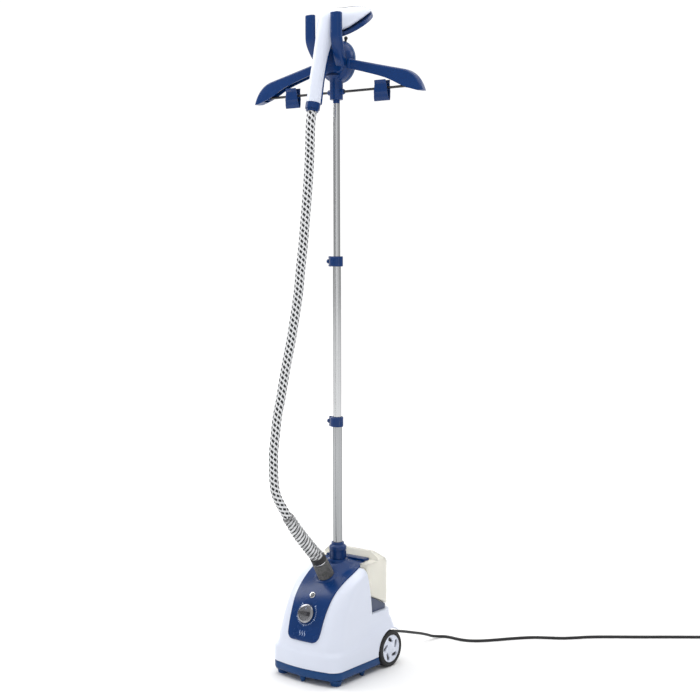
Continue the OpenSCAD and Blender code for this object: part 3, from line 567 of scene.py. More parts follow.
# ---- base casing
SEAM, LEDGE, HALF_W, FRONT, REAR, WALL = 35, 140, 100, 137, 120, 2.8
shell_rows = [(SEAM, HALF_W, -FRONT, REAR, 30, 28, 8), (66, HALF_W, -136, REAR, 30, 28, 8),
              (73, 98.5, -134, REAR, 33, 28, 7), (80, 95, -131.5, 119.5, 38, 28, 6),
              (90, 93, -130, 117, 38, 26, 5),
              (105, 92, -127, 113, 37, 25, 5), (122, 91, -121, 110.5, 37, 25, 5),
              (LEDGE, 90, -115, 109, 36, 25, 5)]
tower_rows = [(140.6, 90, -114.8, 27, 36, 5), (160, 89.5, -106.5, 26, 36, 5), (180, 89, -96, 24, 36, 5),
              (195, 88.7, -85, 22, 35, 5), (208, 88.4, -71.5, 20, 30, 5), (220, 88, -55, 18, 25, 5),
              (231, 87, -37, 16, 24, 5), (240, 85, -18, 15, 24, 4), (247, 81, -1, 14, 10, 2),
              (251.5, 75, 9, 14, 1.5, 0)]
cover_rows = [(97, 42, -128.4, 5), (105, 45.5, -127, 5), (122, 48, -121, 5), (LEDGE, 49.2, -115, 5),
              (160, 50.5, -106.5, 5), (180, 52.4, -96, 5), (195, 53.6, -85, 5), (208, 55, -71.5, 4.6),
              (220, 57, -55, 4), (231, 59, -37, 4), (240, 61, -18, 3.4), (247, 62, -1, 1.2),
              (252, 62, 13, 0),
              (259, 60, 36, 0)]


def lift(y, z):
    """Raises the shoulder of the casing into a fender over each rear wheel."""
    return 25.0 * smooth((y + 75) / 130.0) * smooth((z - 45) / 30.0 if z < 82 else (132 - z) / 50.0)


def front_edge(a, f, bow, r):
    """Bowed front of a plan with its two round corners."""
    return (arc((r - a, f + bow + r), r, 180, 261, 18)
            + [((a - r) * i / 10, f + bow * i * i / 100.0) for i in range(-10, 11)]
            + arc((a - r, f + bow + r), r, 279, 360, 18))


def low_ring(row, t, up=True):
    """Plan of the casing below the ledge, t inside its surface."""
    z, a, f, b, rf, rr, bow = row
    a, f, b, rf, rr = a - t, f + t, b - t, rf - t, rr - t
    pts = arch(a - rr, b - rr, rr, 15)
    pts += [(-a, b - rr + (f + bow + rf - b + rr) * i / 16) for i in range(1, 16)]
    pts += front_edge(a, f, bow, rf)
    pts += [(a, f + bow + rf + (b - rr - f - bow - rf) * i / 16) for i in range(1, 16)]
    return [(x, y, z + (lift(y, z) if up and abs(x) > 20 else 0)) for x, y in pts]


def high_ring(row, t):
    """Plan of the casing above the ledge, t inside its surface, with the room for the mast behind."""
    z, a, f, b, r, bow = row
    a, f, w, y1 = a - t, f + t, 60 - t, 36 - t
    b = b - t
    r = max(0.5, min(r - t, b - 2.3 - f - bow))
    right = lin([(a, b - 2), (a - 0.6, b - 0.6), (a - 2, b), (w + 1, b), (w, b + 1), (w, y1)], 3)
    left = [(-x, y) for x, y in reversed(right)]
    pts = right + left
    y2, y3 = b - 2, f + bow + r
    pts += [(-a, y2 + (y3 - y2) * i / 16) for i in range(1, 16)]
    pts += front_edge(a, f, bow, r)
    pts += [(a, y3 + (y2 - y3) * i / 16) for i in range(1, 16)]
    return [(x, y, z) for x, y in pts]


low_z = [SEAM, 37, 42, 48, 54, 60, 64, 67, 69, 71, 73, 75, 77, 79, 81, 84, 88, 93, 99, 105, 112, 120, 128,
         135, 138.5, LEDGE]
high_z = [140.6, 143, 150, 158, 166, 174, 182, 189, 195, 201, 206, 211, 216, 220, 224, 228, 231, 234, 237,
          240, 242,
          244, 246, 247.5, 249, 250.3, 251.5]
outer = [low_ring(row_at(shell_rows, z), 0.6 if z == SEAM else 0.0) for z in low_z]
outer += [high_ring(row_at(tower_rows, z), 0.0) for z in high_z]
inner = [high_ring(row_at(tower_rows, z), 0.8 if z > 251 else WALL) for z in reversed(high_z)]
inner += [[(x, y, z - (WALL if zz > 136 else 0)) for x, y, z in low_ring(row_at(shell_rows, zz), WALL)]
          for zz in reversed(low_z)]
shell = make("base_casing", loft(outer + inner, closed=True), WHITE, "base", "body_shell")


def on_axle(side, x=0):
    """Map that turns a part's Z outwards along the axle, from x."""
    return lambda q: Vector((side * (x + q.z), WHEEL_Y + q.x, WHEEL_Z + q.y))


well_cut = join(*[place(loft(circles([(WELL_R, x) for x in WELL_X], 128)), on_axle(s)) for s in (-1, 1)])
boolean(shell, cutter(well_cut))
slot_outline = [(-36, 116), (36, 116), (47, 200), (50, 262), (-50, 262), (-47, 200)]
boolean(shell, cutter(loft([[(x, y, z) for x, z in slot_outline] for y in (32, -150)])))

# rolled lip round each wheel opening
LIP_X, LIP_R = 99.2, 50.4
for side, tag in SIDES:
    pts = [(side * LIP_X, WHEEL_Y + LIP_R * cos(radians(a)), WHEEL_Z + LIP_R * sin(radians(a)))
           for a in range(52, 184, 3)]
    lip = tube(pts, lambda k: 1.9 * min(1.0, 0.35 + 0.2 * min(k, len(pts) - 1 - k)), n=12)
    make("fender_lip_" + tag, lip, WHITE, "base")

# tray under the casing, with a groove at the seam and a rounded lower edge
tray_rows = [(14, 7), (14.3, 4.6), (15.4, 2.4), (17.2, 1.0), (20, 0.5), (31.5, 0.4), (32.4, 0.9), (33, 1.6),
             (34.8, 1.6), (34.8, 3.6), (18, 3.6)]
tray = [low_ring((z, *shell_rows[0][1:]), t, up=False) for z, t in tray_rows]
base_tray = make("base_tray_shell", loft(tray), NAVY_SOFT, "base", "base_tray")
boolean(base_tray, cutter(well_cut))
well = []
for s in (-1, 1):
    well.append(place(washer([(4.1, 69), (12, 69), (12, 63), (4.1, 63)], 48), on_axle(s)))
    well.append(slab([(48, 16), (114, 16), (114, 94), (48, 94)], s * 68.9, s * 71.7, 0))
make("wheel_wells", join(*well), NAVY_SOFT, "base")

# feet: two round ones in front and pegs
feet = []
for x, y, r1, r2 in ((80, -102, 12.6, 15), (-80, -102, 12.6, 15), (84, -8, 4.8, 8), (-84, -8, 4.8, 8),
                     (0, -125, 4.8, 8)):
    feet.append(place(lathe([(0.01, 0), (r1 - 1.4, 0), (r1 - 0.4, 0.4), (r1, 1.4), (r2 - 0.6, 11),
                             (r2, 13.6),
                             (0.01, 13.6)], 48), shift(x, y)))
rim = washer([(15.2, 9), (17.5, 12), (17.5, 13.9), (15.2, 13.9)], 48)
feet += [place(rim, shift(x, -102)) for x in (80, -80)]
make("base_feet", join(*feet), NAVY_SOFT, "base", "feet")


# ---- cover over the casing
def cover_frame(z):
    r = row_at(cover_rows, z)
    a, b = row_at(cover_rows, max(97, z - 2)), row_at(cover_rows, min(259, z + 2))
    t = Vector((0, b[2] - a[2], b[0] - a[0])).normalized()
    return r, t


def cover_point(x, z, h):
    r, t = cover_frame(z)
    return Vector((x, r[2] - h * t.z + r[3] * (x / 56.0) ** 2, r[0] + h * t.y))


COVER_Z, CORNER, NX = 97, 15.0, 56


def cover_half(z):
    """Half width of the cover, with its two lower corners rounded."""
    up = max(0.0, COVER_Z + CORNER - z)
    return row_at(cover_rows, z)[1] - (CORNER - sqrt(max(0.0, CORNER ** 2 - up ** 2)) if up else 0)


cover_z = [97, 97.2, 97.7, 98.5, 99.6, 101, 103, 106, 110] + [112 + 2.5 * i for i in range(58)] + [258, 259]
rings = []
for z in cover_z:
    w = cover_half(z)
    up, down = [], []
    for i in range(NX + 1):
        x = w * sin((2 * i / NX - 1) * pi / 2)
        edge = min(1.0, min(w - abs(x), z - COVER_Z + 0.02) / 1.8)
        h = 0.95 + 2.2 * sqrt(max(0.0, 1 - (1 - edge) ** 2))
        p = cover_point(x, z, h)
        # soft rise round the hose connector, and the dome that carries the mast
        h += 2.6 * smooth(1 - (p - Vector(PORT_C)).length / 46)
        dome = smooth((48 - hypot(x, p.y - MAST_Y)) / 27) * (1 - 0.75 * min(1.0, max(0.0, p.y - 6) / 24))
        up.append(cover_point(x, z, h) + Vector((0, -2.0, 14.0)) * dome)
        down.append(cover_point(x, z, 0.3))
    rings.append(up + down[::-1])
cover = make("top_cover_shell", sheet(rings), NAVY, "base", "top_cover")
boolean(cover, cutter(place(lathe([(0.01, 225), (TUBE_R, 225), (TUBE_R, 290), (0.01, 290)], 96), at_mast)))
boss = [(TUBE_R, 250), (25.5, 250), (25.5, 262), (24.6, 265.4), (23.8, 267.4), (22.8, 268), (TUBE_R, 268)]
make("mast_boss", place(washer(boss, 96), at_mast), NAVY, "base")
port = [(0.01, -6), (35, -6), (31, -0.2), (28, 1.5), (25.4, 2.7), (23.6, 3.3), (22.4, 3.3), (21.6, 2.4),
        (0.01, 2.4)]
at_port = on_cover(PORT_C, PORT_LEAN)
make("port_boss", place(lathe(port, 96), at_port), NAVY, "base")

# thin dark gasket line between the cover and the tank cap
pts = [(-58.5, 37.2, 262.4)] + [(x, 37.4, 262.6) for x in range(-56, 57, 8)] + [(58.5, 37.2, 262.4)]
make("cover_gasket", tube(pts, 1.0, n=8, side=(0, 0, 1)), BLACK, "base")

# ---- dial, scale, lamp and a plain steam sign
at_dial = on_cover(DIAL_C, DIAL_LEAN)
parts = [lathe([(0.01, 3.3), (21.2, 3.3), (22.1, 4.0), (22.1, 6.4), (21.2, 7.8), (18.6, 8.8), (16.6, 9.1),
                (15.6, 8.3),
                (0.01, 8.2)], 96)]
for i in range(40):
    a = 2 * pi * i / 40
    parts.append(place(lathe([(0.01, 3.4), (0.55, 3.6), (0.7, 5.0), (0.55, 6.8), (0.01, 7.0)], 8),
                       shift(21.8 * cos(a), 21.8 * sin(a))))
make("dial_ring", place(join(*parts), at_dial), DIAL_RING, "dial", "dial_knob")
# grip: a waisted bar with a domed top
rings = []
for z, s in ((7.6, 1.0), (9, 0.98), (12, 0.93), (16, 0.89), (19, 0.86), (20.4, 0.80), (21.0, 0.68),
             (21.2, 0.4)):
    ring_pts = []
    for i in range(56):
        ca, sa = cos(2 * pi * i / 56), sin(2 * pi * i / 56)
        x = 14.4 * copysign(abs(ca) ** 0.75, ca)
        ring_pts.append((x * s, (5.2 + 3.4 * (x / 14.4) ** 2) * copysign(abs(sa) ** 0.7, sa) * s, z))
    rings.append(ring_pts)
make("dial_grip", place(loft(rings), at_dial), DIAL, "dial")
pointer = [[(x * s, y, z) for x, y in ((-0.6, 9.6), (0.6, 9.6), (0.6, 14.0), (-0.6, 14.0))]
           for z, s in ((8.0, 1), (9.25, 0.8))]
make("dial_pointer", place(loft(pointer), at_dial), PRINT, "dial")


def on_skin(u, s, h=3.2):
    """Point on the cover at u across and s up its slope from the dial's centre."""
    return cover_point(u, DIAL_C[2] + s * sin(radians(DIAL_LEAN)), h)


marks = []
for i in range(29):
    a = radians(-225 + 270 * i / 28)
    r1, r2, w = (25.0, 29.6, 0.85) if i % 7 == 0 else (25.4, 28.2, 0.5)
    ca, sa = cos(a), sin(a)
    tick = ((r1, -w), (r1, w), (r2, w), (r2, -w))
    marks.append(loft([[on_skin(ca * r - sa * q, sa * r + ca * q, h) for r, q in tick] for h in (2.8,
                                                                                                 3.4)]))
# three plain wavy strokes for steam, below the dial
for c in (-7, 0, 7):
    line = [on_skin(c + 1.5 * sin(i / 12 * 2 * pi), -52 + i * 0.95, 3.1) for i in range(13)]
    marks.append(tube(line, lambda k: 1.0 - 0.6 * abs(k - 6) / 6, n=8, side=(1, 0, 0)))
make("cover_print", join(*marks), PRINT, "base")
at_lamp = on_cover(LAMP_C, LAMP_LEAN)
bezel = washer([(5.3, 2.2), (7.2, 2.2), (7.5, 3.2), (6.8, 4.1), (5.8, 4.2), (5.3, 3.6)], 48)
make("lamp_bezel", place(bezel, at_lamp), CHROME, "base")
dome = lathe([(0.01, -4), (5.2, -4), (5.2, 2.7), (4.5, 3.9), (3.1, 4.8), (1.5, 5.2), (0.01, 5.3)], 48)
make("lamp_dome", place(dome, at_lamp), LENS, "base", "indicator_lens")

# ---- hose connector
prof = [(6.2, -9.5), (11.7, -9.5), (11.7, 2.4), (20.2, 2.4)]
for i in range(112):
    z = 3.0 + i * 0.36
    prof.append((19.7 - z / 24 + 0.75 * sin(2 * pi * z / 4.2), z))
prof += [(16.8, 44.0), (14.2, 44.2), (14.2, 8), (6.2, 6)]
make("port_connector", place(washer(prof, 72), at_port), SMOKE, "base", "hose_connector")
flutes = []
for i in range(18):
    a = 2 * pi * i / 18
    flutes.append(tube([(19.4 * cos(a), 19.4 * sin(a), 3.4), (19.0 * cos(a), 19.0 * sin(a), 22),
                        (18.2 * cos(a), 18.2 * sin(a), 42)], 0.85, n=8))
make("connector_flutes", place(join(*flutes), at_port), SMOKE, "base")
core = washer([(7, 8.2), (13.6, 8.2), (13.6, 43.5), (7, 43.5)], 48)
make("connector_core", place(core, at_port), BLACK, "base")
ring = washer([(8, 44.2), (15.8, 44.2), (16.3, 44.8), (16.3, 46.6), (15.8, 47.2), (8, 47.2)], 64)
make("hose_ring_metal", place(ring, at_port), CHROME, "base", "hose_ring")
grip = washer([(8, 47.4), (17.2, 47.4), (18.2, 48.4), (18.2, 51.6), (17.2, 52.4), (18.2, 53.2),
               (18.2, 56.6),
               (17.2, 57.4), (18.2, 58.2), (18.2, 61.2), (17, 62.4), (8, 62.4)], 64)
make("hose_ring_grip", place(grip, at_port), BLACK, "base")

# ---- water tank and its seat


def tank_outline(w, y0, y1, r):
    """Plan of the tank: square in front, rounded at the back."""
    return [(w, y0)] + arch(w - r, y1 - r, r, 10) + [(-w, y0)]


def seat_z(y):
    """Height of the seat's sloping top at a depth y."""
    pts = [(20, 182), (38, 178), (52, 172), (72, 163), (92, 152), (104, 149), (120, 149)]
    for (a, za), (b, zb) in zip(pts, pts[1:]):
        if y <= b:
            return za + (zb - za) * (y - a) / (b - a)
    return pts[-1][1]


rings = []
for t, dz in ((0, None), (0, 1.6), (0.7, 0.5), (2.0, 0)):
    rings.append([(x, y, 141 if dz is None else seat_z(y) - dz)
                  for x, y in tank_outline(80 - t, 37.2 + t, 104 - t, 18)])
v, f = loft(rings, caps=False)
n = len(rings[0])
f.append(tuple(range(n - 1, -1, -1)))
# top face as strips from side to side
f += [(3 * n + i, 3 * n + i + 1, 4 * n - 2 - i, 4 * n - 1 - i) for i in range(n // 2 - 1)]
seat = make("tank_seat_block", (v, f), SLATE, "base", "tank_seat")
boolean(seat, cutter(place(lathe([(0.01, 148), (17, 148), (17, 200), (0.01, 200)], 64), shift(0, 68))))
block = [(28.8, 141), (37.1, 141), (37.1, 177.6), (28.8, 179.6)]
make("tank_seat_sides", join(*[slab(block, s * 61.2, s * 79.8, 0) for s in (-1, 1)]), SLATE, "base")


TANK_W = 84


def tank_body(t, name):
    """Tank: its side, front and plan outlines met, less the room for the casing's tower."""
    side_line = [(28.6 + t, 182 + t), (15.8 + t, 250), (15.8 + t, 262 - t), (60 + t, 262.4 - t),
                 (60 + t, 284 - t),
                 (69, 284 - t), (106 - t, 246 - t), (106 - t, 151 + t), (92, 153.2 + t), (72, 164.2 + t),
                 (52, 173.2 + t),
                 (38, 179.2 + t)]
    w = TANK_W - t
    block = cutter(slab(side_line, -w, w, 0))
    boolean(block,
            cutter(slab([(-w - 1, 140), (w + 1, 140), (w + 1, 266 - t), (60 - t, 285 - t),
                         (t - 60, 285 - t),
                                (-w - 1, 266 - t)], 0, 130, 1)), "INTERSECT")
    plan = [(w + 1, 80)] + arch(w - 20, 86 - t, 20, 12)[:-1]
    boolean(block, cutter(slab(plan + [(-w, 10), (w, 10)], 130, 300, 2)), "INTERSECT")
    tower = [(-61.4 - t, 0), (61.4 + t, 0), (61.4 + t, 38.2 + t), (-61.4 - t, 38.2 + t)]
    boolean(block, cutter(slab(tower, 130, 300, 2)))
    block.name = name
    return block


tank = tank_body(0, "tank_clear_shell")
bevel = tank.modifiers.new("edge", "BEVEL")
bevel.width, bevel.segments, bevel.limit_method, bevel.angle_limit = 0.0018, 3, "ANGLE", radians(25)
soft = bpy.data.meshes.new_from_object(tank.evaluated_get(bpy.context.evaluated_depsgraph_get()))
tank.modifiers.clear()
tank.data = soft
boolean(tank, tank_body(2.4, "cutter"))
tank.data.materials.clear()
tank.data.materials.append(TANK)
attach(tank, "water_tank")
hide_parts("tank_shell")
cap_outline = arch(52.4, 53.4, 6, 8) + [(-58.4, 36.4), (58.4, 36.4)]
cap_rings = [[(x * g, 36.4 + (y - 36.4) * g, z) for x, y in cap_outline]
             for z, g in ((262.2, 1.0), (265.6, 1.0), (266.9, 0.985), (267.3, 0.95))]
make("tank_cap_slab", loft(cap_rings), NAVY, "water_tank", "tank_cap")

# ---- hubcaps with five slots over a dark disc
TILT = 0.62
for side, tag in SIDES:
    turn = on_axle(side, 88)
    dish = [(0.01, 6), (33.9, 6), (33.9, 11.2), (33.2, 12.4), (31.8, 12.8), (29.8, 12.2), (26, 11.8),
            (12, 11.9),
            (10.4, 12.4), (9, 13.4), (7, 13.9), (0.01, 14)]
    cap = make("hub_disc_" + tag, place(lathe(dish, 96), turn), WHITE, tag + "_wheel", "hubcap_" + tag)
    slots = []
    for i in range(5):
        c = 2 * pi * i / 5 + 0.35
        outline = []
        for x, y in arc((6.0, 0), 5.0, -90, 90, 10) + arc((-6.4, 0), 3.4, 90, 270, 10):
            x2, y2 = x * cos(TILT) - y * sin(TILT), x * sin(TILT) + y * cos(TILT)
            outline.append((21.2 * cos(c) - x2 * sin(c) + y2 * cos(c),
                            21.2 * sin(c) + x2 * cos(c) + y2 * sin(c)))
        slots.append(loft([[(x, y, z) for x, y in outline] for z in (7.6, 20)]))
    boolean(cap, cutter(place(join(*slots), turn)))
    disc = washer([(9.6, 7.3), (30, 7.3), (30, 7.9), (9.6, 7.9)], 64)
    make("hub_inner_" + tag, place(disc, turn), BLACK, tag + "_wheel")
    barrel = join(washer([(30, -11), (33.9, -11), (33.9, 6.1), (30, 6.1)], 64),
                  washer([(4.2, -11), (9, -11), (9, 6.1), (4.2, 6.1)], 48))
    make("hub_barrel_" + tag, place(barrel, turn), WHITE, tag + "_wheel")

# ---- hanger hub
def oblong(r, y):
    """Round outline of 96 points in an XZ plane, with short straight sides."""
    turn = [2 * pi * i / 96 for i in range(96)]
    return [(r * cos(a), y, HUB_Z + r * sin(a) + (6 if r * sin(a) >= 0 else -6)) for a in turn]


def on_bar(x, side=1):
    """Map that turns a part's Z along the clip bar, from x."""
    return lambda q: Vector((x + side * q.z, MAST_Y + q.x, BAR_Z + q.y))


front = [(8, -7.0), (24, -7.0), (31, -6.6), (35.5, -5.2), (39, -2.4), (41.6, 1.4), (42.8, 6), (43, 12),
         (43, 17.2),
         (42.4, 17.9), (20, 17.9)]
make("hanger_hub_shell", loft([oblong(r, y) for r, y in front]), NAVY, "mast_upper", "hanger_hub")
column = place(lathe([(0.01, 1358), (14.2, 1358), (15.2, 1358.5), (15.6, 1359.6), (15.6, 1398),
                      (16.4, 1404),
                      (19, 1409), (24, 1413), (0.01, 1414)], 64), at_mast)
lug = lathe([(0.01, 10), (6.6, 10), (6.6, 21), (5.8, 22.6), (4.8, 24), (4.2, 24), (0.01, 24)], 32)
collar = make("hanger_collar", join(column, *[place(lug, on_bar(0, s)) for s in (-1, 1)]), NAVY,
              "mast_upper")
boolean(collar, cutter(place(lathe([(0.01, 1350), (8.1, 1350), (8.1, 1395), (0.01, 1395)], 48), at_mast)))
# cover behind the hub, and the boss round its screw
back = [(20, 18.2), (42.2, 18.2), (43.4, 19.2), (43.6, 24), (43.0, 26.4), (41.2, 28.4), (38, 29.6),
        (33, 30), (8, 30)]
make("hub_back_cover", loft([oblong(r, y) for r, y in back]), NAVY_SOFT, "mast_upper", "hub_cover")
boss = washer([(5.0, 0), (7.6, 0), (7.6, 1.2), (6.9, 1.9), (5.6, 1.9), (5.0, 1.2)], 40)
make("hub_back_boss", place(boss, lambda q: Vector((q.x, 29.6 + q.z, HUB_Z + q.y))), NAVY_SOFT,
     "mast_upper")

# ---- handset rest: two horns on the hub
# a horn's plan is the hull of three discs, each x, y and radius
HORN_DISCS = ((-8, -1.6, 5.6), (7.4, -1.8, 6.0), (8.4, 4.6, 5.2))
reach = []
for i in range(48):
    a = 2 * pi * i / 48
    reach.append((a, max(x * cos(a) + y * sin(a) + r for x, y, r in HORN_DISCS)))
plan = []
for (a, h), (b, g) in zip(reach, reach[1:] + reach[:1]):
    den = sin(b - a)
    plan.append(((h * sin(b) - g * sin(a)) / den, (g * cos(a) - h * cos(b)) / den))
horn_rows = [  # x, y, z, share of the plan
    (37.1, -40.2, 1551.0, 0.62), (37.1, -40.2, 1550.9, 0.84), (37.1, -40.2, 1550.2, 0.94),
    (37.1, -40.2, 1548.6, 0.99), (37.1, -40.2, 1535, 1.0), (37.1, -40.2, 1515, 1.0),
             (37.1, -40.0, 1500, 1.0),
    (37.0, -38.0, 1488, 1.0), (35.6, -33.0, 1475, 1.0), (33.2, -26.0, 1462, 1.0),
    (30.0, -18.0, 1450, 1.0), (27.0, -10.0, 1440, 0.95), (25.0, -4.0, 1434, 0.9)]
dense = horn_rows[:4] + spline(horn_rows[3:], 6)[1:]
for side, tag in SIDES:
    rings = []
    for k, (x, y, z, g) in enumerate(dense):
        nxt, prv = dense[min(k + 1, len(dense) - 1)], dense[max(k - 1, 0)]
        t = Vector((0, nxt[1] - prv[1], nxt[2] - prv[2]))
        t = t.normalized() if t.length > 0.3 and k > 4 else Vector((0, 0, -1))
        rings.append([(side * (x + g * u), y - g * w * t.z, z + g * w * t.y) for u, w in plan])
    make("rest_horn_" + tag, loft(rings), NAVY, "mast_upper", "handset_cradle")
outline = arch(26, 14, 10, 8) + arc((-20, -20), 14, 180, 270, 8) + arc((20, -20), 14, 270, 360, 8)
bridge = [[(s * x, y, 1452 + s * z) for x, z in outline]
          for y, s in ((-6.6, 1.0), (-10.0, 1.0), (-12.6, 0.93), (-13.4, 0.80))]
make("rest_bridge", loft(bridge), NAVY, "mast_upper")
peg = lathe([(0.01, 0), (3.6, 0), (3.0, 2.5), (2.8, 8.5), (3.4, 9.6), (4.3, 11.2), (4.5, 12.8), (4.2, 14.6),
             (3.2, 16.2), (1.6, 17.1), (0.01, 17.3)], 32)
d = Vector((0, 2.8, 12.8)).normalized()
w = d.cross(Vector((1, 0, 0)))
pegs = [place(peg, lambda q, s=s: Vector((s * 14 + q.x, 24, 1489)) + w * q.y + d * q.z) for s in (-1, 1)]
make("rest_peg_balls", join(*pegs), BLACK, "mast_upper", "rest_pegs")

# ---- hanger arms: hollow shoulders, open below
curve = []
for i in range(17):
    t = i / 16
    a, b, c = (1 - t) ** 2, 2 * (1 - t) * t, t * t
    curve.append((a * 196 + b * 236 + c * 250, a * 1414.3 + b * 1405 + c * 1362.5))
top_line = lin([(30, 1452), (120, 1431.5), (196, 1414.3)], 10)[:-1] + curve
low_line = [(30, 1430), (46, 1426.5), (142, 1400), (190, 1379), (212, 1370.5), (238, 1362.8)]
ARM_RINGS = 64


def resample(points, count):
    """Points at equal steps along a line."""
    total = [0]
    for a, b in zip(points, points[1:]):
        total.append(total[-1] + dist(a, b))
    out = []
    for i in range(count):
        s = total[-1] * i / (count - 1)
        k = max(j for j in range(len(total) - 1) if total[j] <= s + 1e-9)
        t = (s - total[k]) / (total[k + 1] - total[k])
        out.append(tuple(a + (b - a) * t for a, b in zip(points[k], points[k + 1])))
    return out


tops, lows = resample(top_line, ARM_RINGS), resample(spline(low_line, 8), ARM_RINGS)


def arm_point(side, k, y, s, dx=0.0):
    """Point of an arm's k-th section, at the share s of its height."""
    (tx, tz), (lx, lz) = tops[k], lows[k]
    return side * (lx + (tx - lx) * s) + dx, MAST_Y + y, lz + (tz - lz) * s


def arm_ring(side, k, wall):
    """Cross section of an arm. A wall above nought gives the hollow inside it."""
    depth = max(3.0, dist(tops[k], lows[k]))
    ha = 11.0 - 0.6 * (k / ARM_RINGS) - wall
    r = min(5.2 - wall * 0.6, depth * 0.9)
    sec = [(-ha, -0.3 if wall else 0.0), (-ha, 0.3)]
    for j in range(7):
        a = pi - pi / 2 * j / 6
        sec.append((-ha + r + r * cos(a), max(0.3, 1 - (wall + r - r * sin(a)) / depth)))
    sec += [(-y, s) for y, s in reversed(sec)]
    return [arm_point(side, k, y, s) for y, s in sec]


rib = [(-9.2, 0.18), (9.2, 0.18), (9.2, 0.7), (5, 0.94), (-5, 0.94), (-9.2, 0.7)]
end_wall = [(0.4, 1371.5), (15.6, 1371.5), (16.2, 1392), (-0.2, 1392)]
for side, tag in SIDES:
    part = loft([arm_ring(side, k, 0) for k in range(ARM_RINGS)])
    arm = make("hanger_arm_" + tag, part, NAVY, "mast_upper", "arm_" + tag, angle=40)
    boolean(arm, cutter(loft([arm_ring(side, k, 2.4) for k in range(3, ARM_RINGS - 5)])))
    parts = [loft([[arm_point(side, k, y, s, dx) for y, s in rib] for dx in (-0.8, 0.8)])
             for k in (10, 20, 30, 40, 50)]
    parts.append(slab(end_wall, side * 204, side * 212, 0))
    make("arm_ribs_" + tag, join(*parts), NAVY, "mast_upper")
    # short sleeve where the arm leaves the hub
    rings = []
    for x, g in ((40.5, 0.6), (41.2, 1.4), (48, 1.5), (49, 0.9), (49.4, 0.1)):
        zt, zb = 1452 - (x - 30) * 0.228, 1430 - (x - 30) * 0.22
        section = (arch(6 + g, zt + g - 5, 5, 5) + arc((-8 - g, zb - g + 3), 3, 180, 270, 4)
                   + arc((8 + g, zb - g + 3), 3, 270, 360, 4))
        rings.append([(side * x, MAST_Y + y, z) for y, z in section])
    make("arm_sleeve_" + tag, loft(rings), NAVY, "mast_upper")

# ---- garment clips
clip_line = spline([(8.3, 18.3), (7.6, 13), (6.6, 7.5), (6.45, 3), (6.45, -3), (6.5, -7), (6.1, -11),
                    (4.9, -15),
                    (3.6, -20), (2.3, -25), (1.75, -28.4)], 5)
across = [-1 + j / 6 for j in range(13)]
for side, tag in SIDES:
    for s, which, body in ((1, "back", "clip_" + tag), (-1, "front", "clip_" + tag + "_jaw")):
        def at_clip(x, y, z):
            return side * CLIP_X + x, MAST_Y + s * y, BAR_Z + z

        rings = []
        for k, (y, z) in enumerate(clip_line):
            y += 0.45 * cos((z + 1) / 3.2) if z > 8 or z < -10 else 0
            hw = 15.6 + (18.3 - z) / 46.7 * 5.4
            th = 1.25 if 0 < k < len(clip_line) - 1 else 0.6
            rings.append([at_clip(u * hw, y + e * th * (1 if abs(u) < 0.99 else 0.5), z)
                          for e in (1, -1) for u in across[::e]])
        parts = [loft(rings)]
        # knuckles on the bar, each with its web to the plate
        for x0, x1 in [(-5, 5)] if s < 0 else [(-16, -8.2), (8.2, 16)]:
            knuckle = [(3.1, x0), (4.6, x0), (4.9, x0 + 0.4), (4.9, x1 - 0.4), (4.6, x1), (3.1, x1)]
            parts.append(place(washer(knuckle, 32), on_bar(side * CLIP_X)))
            web = ((4.4, -3.4), (6.2, -3.4), (6.2, 3.4), (4.4, 3.4))
            parts.append(loft([[at_clip(x, y, z) for y, z in web] for x in (x0, x1)]))
        # grip ribs on the finger pad
        for z in (11.5, 14, 16.5):
            path = [at_clip(x, 9.2 - (18.3 - z) * 0.16, z) for x in (-13, -12, 0, 12, 13)]
            parts.append(tube(path, lambda k: 0.2 if k in (0, 4) else 0.7, n=8, side=(0, 0, 1)))
        node = "clip_%s_%s" % (which, tag)
        make(node + "_plate", join(*parts), NAVY, body, node, angle=40)

# ---- handset
# front line, back line (each y, z) and half width, from the cuff to the tip
handset_rows = [
    (-93.6, 1347.7, -61.4, 1340.3, 15.5), (-82.5, 1400, -50.5, 1392, 15), (-69, 1452, -37, 1443, 15.5),
    (-59, 1493, -23, 1477, 18), (-50, 1524, -11, 1503.5, 22), (-39, 1552, 10, 1516.5, 26),
    (-12, 1565, 35, 1524.5, 30), (35, 1574, 58, 1537.1, 32.5), (72, 1582, 85, 1552.7, 31),
    (100, 1584.5, 109, 1566.6, 25), (119, 1585.5, 123, 1574.8, 16), (130, 1582, 131.5, 1579.8, 7)]
fine_rows = spline(handset_rows, 8)


def head_point(row, a, t):
    """Point of the handset's skin at the angle a, t outside it. The back half is fuller than an ellipse."""
    f1, b1 = Vector(row[:2]), Vector(row[2:4])
    c, h = (f1 + b1) / 2, (f1 - b1) / 2
    g = h + h.normalized() * t
    s = sin(radians(a))
    q = -(-s) ** 0.7 if s < 0 else s
    return (row[4] + t) * cos(radians(a)), c.x + g.x * q, c.y + g.y * q


rings = [[head_point(r, 5 * i, t) for i in range(72)]
         for r, t in [(fine_rows[0], -1.0)] + [(r, 0) for r in fine_rows] + [(fine_rows[-1], -2.2)]]
make("handset_body", loft(rings), WHITE, "handset", "handset_shell", angle=50)
strip = []
for k, r in enumerate(fine_rows[:28]):
    t = 3.2 - 2.1 * k / 27
    edge = [0.25, 0.55] + [1] * 29 + [0.55, 0.25]
    outer_line = [head_point(r, 205 + 130 * i / 32, t * edge[i]) for i in range(33)]
    strip.append(outer_line + [head_point(r, 205 + 130 * i / 32, 0.2) for i in range(32, -1, -1)])
make("handset_back_strip", sheet(strip), NAVY, "handset", "handset_back", angle=50)
